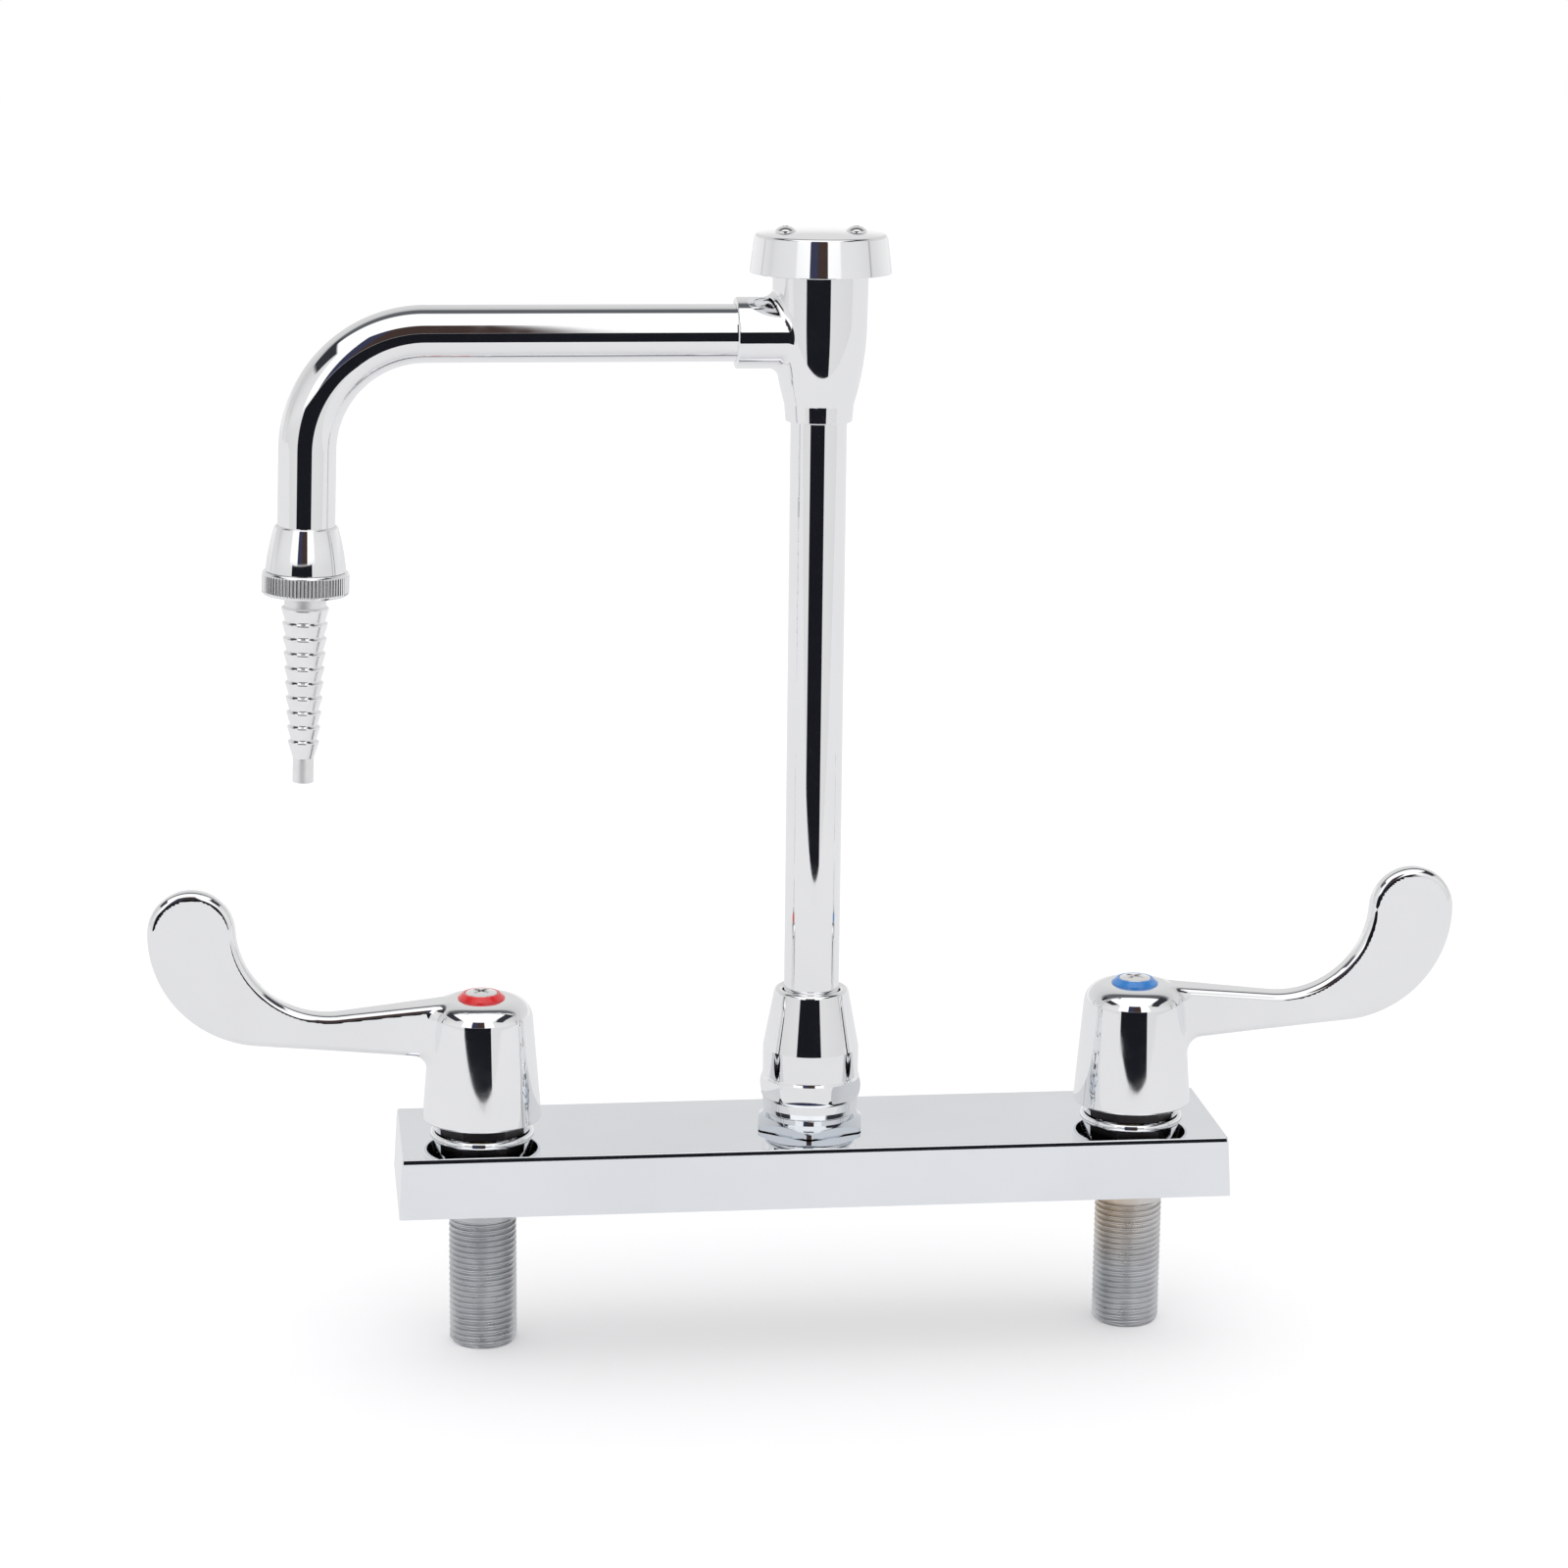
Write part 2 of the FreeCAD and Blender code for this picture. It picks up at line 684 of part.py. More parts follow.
def handle_screw():
    return domed_screw(screw_head_radius, screw_head_rim, screw_head_height, handle_screw_radius,
                       hub_top_height, screw_length)


# Centre adapter, swivel and spout nut

def spout_adapter():
    hex_top = adapter_hex_top
    chamfer_slope = math.tan(math.radians(adapter_chamfer_angle))
    chamfer_drop = (adapter_corner_radius - adapter_chamfer_radius) * chamfer_slope
    foot_top = body_height + adapter_foot_height
    envelope = turned((0, body_height), (adapter_foot_radius, body_height),
                      (adapter_foot_radius, foot_top), (adapter_corner_radius, foot_top),
                      (adapter_corner_radius, hex_top - chamfer_drop),
                      (adapter_chamfer_radius, hex_top), (0, hex_top))
    hexagon = hex_prism(adapter_across_flats, body_height, hex_top, adapter_hex_turn).common(envelope)
    thread_bottom = body_height - adapter_thread_depth
    neck = rod(adapter_neck_radius, hex_top, adapter_neck_top)
    tail = rod(adapter_port_radius - thread_gap, thread_bottom, body_height)
    bore = rod(spud_radius + running_gap, thread_bottom, adapter_neck_top)
    return hexagon.fuse([neck, tail]).cut(bore)


def spout_spud():
    spud = tube(spud_radius, spud_bore_radius, spud_bottom, collar_seat)
    collar = tube(spud_collar_radius, spud_bore_radius, collar_seat, riser_bottom)
    nipple = tube(riser_radius - tube_wall - thread_gap, spud_bore_radius, riser_bottom,
                  riser_bottom + spud_nipple_length)
    spud = spud.fuse([collar, nipple]).removeSplitter()
    return spud.cut([o_ring_groove(spud_radius, height) for height in spud_o_ring_heights])


def spud_o_rings():
    return Part.makeCompound([o_ring(spud_radius, height) for height in spud_o_ring_heights])


def friction_ring():
    return tube(adapter_neck_radius - running_gap, riser_radius + swing_gap, friction_ring_bottom,
                friction_ring_bottom + friction_ring_thickness)


def spout_nut():
    end_step = nut_radius - nut_end_radius
    neck_bore = riser_radius + swing_gap
    thread_bore = adapter_neck_radius + thread_gap
    bead_middle = (nut_hex_bottom + nut_hex_top) / 2
    bead_bottom = bead_middle - nut_bead_height / 2
    bead_top = bead_middle + nut_bead_height / 2
    body = turned((thread_bore, nut_bottom), (nut_end_radius, nut_bottom),
                  (nut_radius, nut_bottom + end_step), (nut_radius, bead_bottom),
                  ((nut_bead_radius, bead_middle), (nut_radius, bead_top)), (nut_radius, nut_cone_bottom),
                  *rounded((nut_radius, nut_cone_bottom), (nut_top_radius, nut_cone_top),
                           (neck_bore, nut_cone_top), nut_lip_radius),
                  *rounded((nut_top_radius, nut_cone_top), (neck_bore, nut_cone_top),
                           (neck_bore, nut_shoulder), nut_lip_radius),
                  (neck_bore, nut_shoulder), (thread_bore, nut_shoulder))
    wrench = hex_prism(nut_hex_across_flats, nut_hex_bottom, nut_hex_top, nut_hex_turn + 30)
    return body.cut(rod(nut_bead_radius + seat_gap, nut_hex_bottom, nut_hex_top).cut(wrench))


def riser_tube():
    return tube(riser_radius, riser_radius - tube_wall, riser_bottom, riser_top)


# Vacuum breaker

def vb_body():
    collar_top = vb_bottom + vb_collar_height
    neck = (vb_collar_top_radius, collar_top)
    shoulder = (vb_shoulder_radius, vb_shoulder_height)
    rim = (vb_top_radius, vb_top)
    outside = turned((0, vb_bottom), (vb_collar_bottom_radius, vb_bottom), neck,
                     smooth_arc(neck, shoulder, rim), rim, (0, vb_top))
    boss = Part.makeCylinder(vb_boss_radius, vb_boss_reach, Vector(0, 0, arm_height), Vector(-1, 0, 0))
    shell = outside.fuse(boss)
    shell = shell.makeFillet(vb_boss_fillet, seam_edges(shell, outside, boss))
    riser_hole = rod(riser_radius + thread_gap, vb_bottom, riser_top)
    lip_outer = vb_inlet_radius + vb_seat_lip_width
    lip_top = vb_chamber_floor + vb_seat_lip_height
    inlet = rod(vb_inlet_radius, riser_top, lip_top)
    chamber = rod(vb_chamber_radius, vb_chamber_floor, vb_top)
    chamber = chamber.cut(tube(lip_outer, vb_inlet_radius, vb_chamber_floor, lip_top))
    outlet = Part.makeCylinder(vb_outlet_radius, vb_boss_reach, Vector(0, 0, arm_height), Vector(-1, 0, 0))
    socket = Part.makeCylinder(arm_radius + thread_gap, arm_socket_depth,
                               Vector(-vb_boss_reach, 0, arm_height), Vector(1, 0, 0))
    return shell.cut([riser_hole, inlet, chamber, outlet, socket])


def bonnet_gasket():
    return tube(vb_bonnet_flange_radius, vb_chamber_radius, vb_top, vb_bonnet_flange_bottom)


def vb_bonnet():
    thread = vb_chamber_radius - thread_gap
    flange = vb_bonnet_flange_radius
    bore = vb_bonnet_bore_radius
    bottom = vb_bonnet_flange_bottom
    top = vb_bonnet_flange_top
    web_top = bonnet_web_top
    bonnet = turned((0, bonnet_bottom), (thread, bonnet_bottom), (thread, bottom), (flange, bottom),
                    (flange, top), (bore, top), (bore, web_top), (0, web_top))
    post_places = (-cap_screw_spacing / 2, cap_screw_spacing / 2)
    posts = [rod(cap_post_radius, bottom, cap_underside, x) for x in post_places]
    holes = [rod(float_stem_radius + running_gap, bonnet_bottom, web_top)]
    for index in range(air_hole_count):
        angle = 2 * math.pi * index / air_hole_count
        x = air_hole_circle_radius * math.cos(angle)
        y = air_hole_circle_radius * math.sin(angle)
        holes.append(rod(air_hole_radius, bonnet_bottom, web_top, x, y))
    hole_floor = screw_seat() - cap_screw_length - seat_gap
    for x in post_places:
        holes.append(rod(cap_screw_radius + thread_gap, hole_floor, cap_underside, x))
    return bonnet.fuse(posts).removeSplitter().cut(holes)


def cap_shoulder():
    """Steps round the cap's shoulder, from its slanted side to the rim of its crown."""
    return rounded((cap_bottom_radius, cap_bottom), (cap_shoulder_radius, cap_shoulder_height),
                   (0, cap_crown_height), cap_edge_rounding)


def screw_seat():
    """Height of the flat spot in the crown under each screw head."""
    rim_radius, rim_height = cap_shoulder()[-1][-1]
    outer_reach = cap_screw_spacing / 2 + cap_screw_head_radius
    return dome_height(rim_radius, rim_height, cap_crown_height, outer_reach) - cap_screw_recess


def vb_cap():
    rim_radius, rim_height = cap_shoulder()[-1][-1]
    cap = turned((cap_bottom_radius - cap_wall, cap_bottom), (cap_bottom_radius, cap_bottom),
                 *cap_shoulder(), dome(rim_radius, rim_height, cap_crown_height),
                 (0, cap_underside), (cap_shoulder_radius - cap_wall, cap_underside))
    holes = []
    for x in (-cap_screw_spacing / 2, cap_screw_spacing / 2):
        holes.append(rod(cap_screw_radius + thread_gap, cap_underside, cap_crown_height, x))
        holes.append(rod(cap_screw_head_radius + thread_gap, screw_seat(), cap_crown_height, x))
    return cap.cut(holes)


def cap_screws():
    screw = domed_screw(cap_screw_head_radius, cap_screw_head_rim, cap_screw_head_height, cap_screw_radius,
                        screw_seat(), cap_screw_length)
    screws = []
    for x in (-cap_screw_spacing / 2, cap_screw_spacing / 2):
        screws.append(screw.translated(Vector(x, 0, 0)))
    return Part.makeCompound(screws)


def vb_float():
    """Disc with a guide stem above it and a cross of guide wings in the inlet below it."""
    wing_bottom = float_rest - float_wing_length
    guide = rod(float_stem_radius, wing_bottom, float_stem_top)
    disc = rod(float_radius, float_disc_bottom, float_top)
    wing = Part.makeBox(2 * float_wing_radius, float_wing_thickness, float_wing_length,
                        Vector(-float_wing_radius, -float_wing_thickness / 2, wing_bottom))
    wing = wing.common(rod(float_wing_radius, wing_bottom, float_rest))
    crossing_wing = wing.copy()
    crossing_wing.rotate(ORIGIN, UP, 90)
    return disc.fuse([guide, wing, crossing_wing]).removeSplitter()


def float_seal():
    return tube(float_seal_radius, float_stem_radius + seat_gap, float_rest, float_disc_bottom)


# Arm, outlet coupling and serrated nozzle

def place_on_leg(shape):
    """Move a piece drawn downwards from the origin onto the leg below the bend."""
    shape.rotate(ORIGIN, Vector(0, 1, 0), leg_lean)
    shape.translate(Vector(-arm_reach, 0, arm_height))
    return shape


def arm_tube():
    turn = 90 - leg_lean
    corner_length = bend_radius * math.tan(math.radians(turn / 2))
    arm_start = -vb_boss_reach + arm_socket_depth
    bend_start = Vector(-arm_reach + corner_length, 0, arm_height)
    bend_centre = bend_start - Vector(0, 0, bend_radius)

    def run(radius):
        straight = Part.makeCylinder(radius, arm_start - bend_start.x, bend_start, Vector(1, 0, 0))
        section = Part.Face(Part.Wire(Part.makeCircle(radius, bend_start, Vector(1, 0, 0))))
        bend = section.revolve(bend_centre, Vector(0, -1, 0), turn)
        leg = place_on_leg(rod(radius, -coupling_socket_end, -corner_length))
        return straight.fuse([bend, leg])

    return run(arm_radius).cut(run(arm_radius - tube_wall)).removeSplitter()


def outlet_coupling():
    rim = (coupling_top_radius, -coupling_top)
    foot = (coupling_bottom_radius, -coupling_bottom)
    socket = arm_radius + thread_gap
    web_radius = arm_radius - tube_wall - seat_gap
    female = nozzle_thread_radius + thread_gap
    middle = (coupling_top + coupling_bottom) / 2
    mouth = (socket, -coupling_top)
    coupling = turned(mouth, *rounded(mouth, rim, foot, coupling_lip_radius),
                      ((coupling_mid_radius, -middle), foot), (female, -coupling_bottom),
                      (female, -washer_top), (web_radius, -washer_top),
                      (web_radius, -coupling_socket_end), (socket, -coupling_socket_end))
    return place_on_leg(coupling)


def nozzle_washer():
    outer = nozzle_thread_radius - seat_gap
    return place_on_leg(tube(outer, nozzle_washer_bore_radius, -nozzle_top, -washer_top))


def barb_radius(index):
    return barb_first_radius - (barb_first_radius - barb_last_radius) * index / (barb_count - 1)


def serrated_nozzle():
    outline = [(nozzle_thread_radius, -nozzle_top), (nozzle_thread_radius, -collar_top),
               (collar_radius - collar_chamfer, -collar_top), (collar_radius, -collar_top - collar_chamfer),
               (collar_radius, -collar_bottom + collar_chamfer),
               (collar_radius - collar_chamfer, -collar_bottom), (nozzle_neck_radius, -collar_bottom)]
    for index in range(barb_count):
        rim = barb_radius(index)
        shoulder = barb_first + barb_pitch * index - barb_shoulder
        root = nozzle_neck_radius if index == 0 else barb_radius(index - 1) - barb_depth
        outline.append((root, -shoulder))
        outline.append((rim, -shoulder - barb_shoulder))
        outline.append((rim, -shoulder - barb_shoulder - barb_land))
    tip_bottom = nozzle_tip_start + nozzle_tip_length
    outline += [(nozzle_tip_radius, -nozzle_tip_start), (nozzle_tip_radius, -tip_bottom),
                (nozzle_bore_radius, -tip_bottom), (nozzle_bore_radius, -barb_first)]
    return place_on_leg(turned((nozzle_mouth_radius, -nozzle_top), *outline))


# Assembly

def valve_side():
    return {
        "shank": supply_shank(),
        "seat_seal": seat_seal(),
        "cartridge_sleeve": cartridge_sleeve(),
        "fixed_disc": fixed_disc(),
        "moving_disc": moving_disc(),
        "stem": stem(),
        "stem_o_ring": stem_o_ring(),
        "stem_clip": stem_clip(),
        "bonnet_nut": bonnet_nut(),
        "handle": handle(),
        "index_ring": index_ring(),
        "handle_screw": handle_screw(),
    }


def centre_pieces():
    return {
        "deck_body": deck_body(),
        "deck_gasket": deck_gasket(),
        "spout_adapter": spout_adapter(),
        "spout_spud": spout_spud(),
        "spud_o_rings": spud_o_rings(),
        "friction_ring": friction_ring(),
        "spout_nut": spout_nut(),
        "riser_tube": riser_tube(),
        "vb_body": vb_body(),
        "vb_bonnet_gasket": bonnet_gasket(),
        "vb_bonnet": vb_bonnet(),
        "vb_cap": vb_cap(),
        "vb_cap_screws": cap_screws(),
        "vb_float": vb_float(),
        "vb_float_seal": float_seal(),
        "arm_tube": arm_tube(),
        "outlet_coupling": outlet_coupling(),
        "nozzle_washer": nozzle_washer(),
        "serrated_nozzle": serrated_nozzle(),
    }


def all_pieces():
    pieces = centre_pieces()
    for name, shape in valve_side().items():
        hot = shape.translated(Vector(-half_spacing, 0, 0))
        pieces["hot_" + name] = hot
        pieces["cold_" + name] = hot.mirror(ORIGIN, Vector(1, 0, 0))
    return pieces


os.makedirs("parts", exist_ok=True)
for node, piece in all_pieces().items():
    piece.exportStep("parts/" + node + ".step")
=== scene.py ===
import json
import math

import bmesh
import bpy
import numpy as np
from mathutils import Matrix, Vector

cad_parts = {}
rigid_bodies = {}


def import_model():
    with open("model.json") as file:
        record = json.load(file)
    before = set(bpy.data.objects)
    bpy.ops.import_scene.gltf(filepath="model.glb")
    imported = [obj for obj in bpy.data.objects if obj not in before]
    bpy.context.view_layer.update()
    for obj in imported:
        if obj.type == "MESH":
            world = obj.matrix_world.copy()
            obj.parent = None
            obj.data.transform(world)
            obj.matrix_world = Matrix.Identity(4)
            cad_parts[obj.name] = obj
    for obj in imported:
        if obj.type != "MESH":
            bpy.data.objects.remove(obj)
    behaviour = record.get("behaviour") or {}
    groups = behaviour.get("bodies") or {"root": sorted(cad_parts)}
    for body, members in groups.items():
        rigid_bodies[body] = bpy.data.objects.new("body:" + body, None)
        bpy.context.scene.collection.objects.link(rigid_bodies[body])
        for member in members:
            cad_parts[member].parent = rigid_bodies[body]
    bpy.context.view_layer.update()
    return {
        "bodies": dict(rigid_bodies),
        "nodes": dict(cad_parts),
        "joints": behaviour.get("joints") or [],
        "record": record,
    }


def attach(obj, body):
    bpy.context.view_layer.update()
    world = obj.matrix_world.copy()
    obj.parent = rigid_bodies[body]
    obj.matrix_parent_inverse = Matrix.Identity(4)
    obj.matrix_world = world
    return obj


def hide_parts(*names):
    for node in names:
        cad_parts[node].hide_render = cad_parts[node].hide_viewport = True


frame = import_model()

# Deck-mounted laboratory faucet. Sizes are in millimetres and become metres when a mesh is made.
# Origin on the deck plane under the riser, +X towards the cold side, +Z up, the user on the -Y side.

MM = 0.001
SCENE = bpy.context.scene
NODES = frame["nodes"]

# Deck body
BODY_LENGTH = 256.0
BODY_WIDTH = 54.4
BODY_HEIGHT = 18.6
BODY_DRAFT = 3.2
BODY_EDGE = 0.4
BODY_CORNER = 0.8
BODY_BUFF_RADIUS = 11.0
BODY_BUFF_TILT = 11.5
HALF_SPACING = 101.6
SIDES = (("hot", -HALF_SPACING), ("cold", HALF_SPACING))
GASKET_RIM = 5.0
GASKET_THICKNESS = 2.0
GASKET_CORNER = 3.3

# Shanks
SHANK_RADIUS = 10.45
SHANK_COLLAR_RADIUS = 11.0
SHANK_COLLAR_DROP = 7.4
SHANK_DROP = 48.7
SHANK_CHAMFER = 1.1
SHANK_TOP = 5.0
INLET_RADIUS = 6.6
INLET_LENGTH = 40.0
SHANK_PORT_RADIUS = 5.5
THREAD_PITCH = 1.814
THREAD_DEPTH = 0.9
THREAD_ROWS = 14
THREAD_RUNOUT = 0.8
THREAD_FLAT = 0.12

# Bonnet nut under each lever
BONNET_BORE = 9.0
BONNET_THREAD = 12.95
BONNET_BOTTOM = 15.6
BONNET_FLANGE = 16.0
BONNET_FLANGE_BOTTOM = 18.65
BONNET_FLANGE_TOP = 20.1
BONNET_ROUNDING = 1.4
BONNET_HEX = 22.2
BONNET_HEX_HEIGHT = 6.0
BONNET_HEX_CHAMFER = (1.4, 0.8)

# Lever hub
HUB_BOTTOM = 23.7
HUB_TOP = 61.4
HUB_BOTTOM_RADIUS = 18.26
HUB_SIDE_ANGLE = 4.6
HUB_SHOULDER = 6.5
HUB_RIM = 0.5
HUB_RIM_WIDTH = 1.15
HUB_WALL = 2.6
HUB_CAVITY_TOP = 44.0
HUB_CAVITY_ROUNDING = 1.0
STEM_RELIEF = 4.55
STEM_RELIEF_DEPTH = 1.05
STEM_SOCKET = 6.3
STEM_SOCKET_TOP = 57.05
HANDLE_SCREW_HOLE = 2.3
INDEX_BORE = 4.95
INDEX_RADIUS = 7.25
INDEX_TOP_RADIUS = 5.6
INDEX_HEIGHT = 1.7
INDEX_FOOT = 0.35
HANDLE_SCREW = dict(head=4.85, rim=1.75, height=2.35, shank=2.0, length=16.0, wing=1.3, reach=6.0, turn=45)

# Wrist blade
BLADE_REACH = 100.38
BLADE_TOP = 97.0
BLADE_TIP_RADIUS = 13.2
BLADE_OUTER_ARC = 35.0
BLADE_INNER_ARC = 28.0
BLADE_OUTER_TURN = 2.0
BLADE_INNER_TURN = 2.6
BLADE_TOP_SLOPE = 5.8
BLADE_BOTTOM_SLOPE = 4.5
BLADE_ROOT_REACH = 9.0
BLADE_ROOT_DROP = 2.3
BLADE_ROOT_THICKNESS = 12.0
BLADE_NECK_THICKNESS = 7.6
BLADE_TIP_THICKNESS = 5.6
BLADE_EDGE = 2.3
BLADE_ROOT_FILLET = 5.0

# Centre adapter and spout nut
ADAPTER_FLATS = 31.75
ADAPTER_CORNER = 17.9
ADAPTER_FOOT = 15.0
ADAPTER_FOOT_HEIGHT = 0.35
ADAPTER_TOP = 22.1
ADAPTER_CHAMFER = 14.6
ADAPTER_CHAMFER_ANGLE = 30.0
ADAPTER_TURN = 22.0
ADAPTER_NECK = 12.7
ADAPTER_NECK_TOP = 36.0
ADAPTER_NECK_CHAMFER = 0.6
ADAPTER_NECK_SINK = 0.2
ADAPTER_BORE = 9.06
NUT_BOTTOM = 23.2
NUT_FOOT_HEIGHT = 2.2
NUT_FOOT_ROUNDING = 0.9
NUT_END_RADIUS = 14.2
NUT_RADIUS = 14.76
NUT_HEX_BOTTOM = 28.8
NUT_HEX_TOP = 34.4
NUT_HEX_FLATS = 27.2
NUT_HEX_TURN = 46.5
NUT_BEAD = 15.65
NUT_BEAD_HEIGHT = 7.6
NUT_CONE_BOTTOM = 44.0
NUT_CONE_TOP = 62.5
NUT_TOP_RADIUS = 11.28
NUT_LIP = 1.3
NUT_BORE = 8.75
NUT_THREAD = 12.75
NUT_SHOULDER = 41.15

# Riser and arm
RISER_RADIUS = 8.45
TUBE_WALL = 1.0
RISER_BOTTOM = 39.05
RISER_TOP = 248.0
ARM_RADIUS = 8.55
ARM_HEIGHT = 264.4
ARM_REACH = 150.9
ARM_START = -15.5
BEND_RADIUS = 35.0
LEG_LEAN = 1.6
LEG_END = 63.0

# Vacuum breaker
VB_BOTTOM = 238.0
VB_COLLAR_TOP = 243.0
VB_COLLAR_RADII = (10.0, 10.4)
VB_SHOULDER = (14.06, 267.0)
VB_TOP = (14.35, 285.5)
VB_CHAMBER = 11.6
VB_FLOOR = 256.5
VB_INLET = 6.8
VB_OUTLET = 7.0
VB_BOSS_RADIUS = 10.65
VB_BOSS_REACH = 25.4
VB_BOSS_FILLET = 3.0
CAP_BOTTOM = 282.2
CAP_BOTTOM_RADIUS = 21.2
CAP_SHOULDER = (19.7, 293.7)
CAP_EDGE = 1.1
CAP_CROWN = 294.6
CAP_WALL = 1.9
CAP_UNDERSIDE = 292.0
CAP_SCREW_PLACE = 10.6
CAP_SCREW_HOLE = 1.65
CAP_SCREW_RECESS = 0.7
CAP_SCREW = dict(head=3.1, rim=1.2, height=2.6, shank=1.6, length=6.0, wing=0.5, reach=2.0, turn=20)

# Coupling and nozzle, down the leg from the bend's corner
COUPLING_TOP = 56.6
COUPLING_BOTTOM = 70.2
COUPLING_TOP_RADIUS = 9.4
COUPLING_MID_RADIUS = 11.0
COUPLING_BOTTOM_RADIUS = 12.0
COUPLING_ROUNDING = 0.6
COUPLING_CHAMFER = 0.25
COUPLING_SOCKET_END = 65.0
COLLAR_TOP = 70.25
COLLAR_BOTTOM = 77.15
COLLAR_RADIUS = 12.95
COLLAR_CHAMFER = 0.5
NOZZLE_THREAD = 8.0
NECK_RADIUS = 6.2
NECK_OVERLAP = 0.3
BARB_COUNT = 10
BARB_FIRST = 81.25
BARB_PITCH = 4.5
BARB_RADII = (7.05, 4.66)
BARB_DEPTH = 1.1
BARB_SHOULDER = 0.5
BARB_LAND = 0.35
TIP_START = 126.95
TIP_END = 134.4
TIP_RADIUS = 3.14
TIP_BORE = 2.3
TIP_CHAMFER = 0.2
KNURL_TEETH = 72
KNURL_DEPTH = 0.42
KNURL_LAND = 0.7
KNURL_SLOPE = 0.25

# Play between pieces that slide into each other
FIT_GAP = 0.05


# Mesh making

def new_piece(name, body, material, replaced, mesh):
    """Link a finished mesh, hang it on its body and let it stand for the CAD nodes it redraws."""
    mesh.name = name
    piece = bpy.data.objects.new(name, mesh)
    SCENE.collection.objects.link(piece)
    mesh.materials.append(material)
    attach(piece, body)
    if replaced:
        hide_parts(*replaced)
    return piece


def mesh_from(points, faces, corner_normals=None, sharp_angle=None):
    """Mesh from points in millimetres, smooth shaded, with exact normals or a crease angle."""
    mesh = bpy.data.meshes.new("mesh")
    mesh.from_pydata((np.asarray(points, float) * MM).tolist(), [], faces)
    mesh.update()
    mesh.polygons.foreach_set("use_smooth", [True] * len(mesh.polygons))
    if corner_normals is not None:
        mesh.normals_split_custom_set([tuple(n) for n in corner_normals])
    elif sharp_angle is not None:
        mesh.set_sharp_from_angle(angle=math.radians(sharp_angle))
    mesh.validate(clean_customdata=False)
    return mesh


class Outline:
    """Half section of a turned piece: points (radius, height) joined by straight or arc strips."""

    CREASE = math.radians(32)

    def __init__(self, *start):
        self.points = [start]
        self.strips = []
        self.closed = False

    def line(self, *point):
        if math.dist(point, self.points[-1]) > 1e-6:
            self.points.append(point)
            self.strips.append(0)
        return self

    def close(self):
        self.closed = True
        return self.line(*self.points[0])

    def arc(self, middle, end, steps=8):
        """Arc through a middle point to an end point."""
        start = np.array(self.points[-1], float)
        middle = np.array(middle, float)
        end = np.array(end, float)
        rows = np.array([middle - start, end - start]) * 2
        sums = np.array([middle @ middle - start @ start, end @ end - start @ start])
        centre = np.linalg.solve(rows, sums)
        radius = np.linalg.norm(start - centre)
        turn = [math.atan2(*(p - centre)[::-1]) for p in (start, middle, end)]
        first = (turn[1] - turn[0] + math.pi) % (2 * math.pi) - math.pi
        second = (turn[2] - turn[1] + math.pi) % (2 * math.pi) - math.pi
        mark = len(self.points) + 1
        for step in range(1, steps + 1):
            angle = turn[0] + (first + second) * step / steps
            self.points.append((centre[0] + radius * math.cos(angle), centre[1] + radius * math.sin(angle)))
            self.strips.append(mark)
        return self

    def round(self, corner, after, radius, steps=6):
        """Line to a corner that is rounded towards the next point, and round it."""
        here = np.array(self.points[-1], float)
        corner = np.array(corner, float)
        back = (here - corner) / np.linalg.norm(here - corner)
        ahead = (np.array(after, float) - corner)
        ahead /= np.linalg.norm(ahead)
        half = math.acos(float(np.clip(back @ ahead, -1, 1))) / 2
        setback = radius / math.tan(half)
        inward = (back + ahead) / np.linalg.norm(back + ahead)
        middle = corner + inward * (radius / math.sin(half) - radius)
        self.line(*(corner + back * setback))
        return self.arc(middle, corner + ahead * setback, steps)

    def normals(self):
        """Outward unit normal at both ends of each strip, smooth inside arcs and where an arc runs on."""
        points = np.array(self.points, float)
        chords = np.diff(points, axis=0)
        flat = np.stack([chords[:, 1], -chords[:, 0]], axis=1)
        flat /= np.linalg.norm(flat, axis=1)[:, None]
        starts = flat.copy()
        ends = flat.copy()
        for i in range(1, len(flat)):
            before, after = self.strips[i - 1], self.strips[i]
            creased = flat[i - 1] @ flat[i] < math.cos(self.CREASE)
            if creased or not before and not after:
                continue
            # an arc takes the direction of a straight strip beside it
            shared = (flat[i - 1] if after else 0) + (flat[i] if before else 0)
            starts[i] = ends[i - 1] = shared / np.linalg.norm(shared)
        return starts, ends


def sleeve(inner, outer, bottom, top):
    """Outline of a plain ring."""
    return Outline(inner, bottom).line(outer, bottom).line(outer, top).line(inner, top).close()


def placed(points, place):
    """Points turned and moved by a matrix."""
    return np.asarray(points) @ np.array(place.to_3x3()).T + np.array(place.translation)


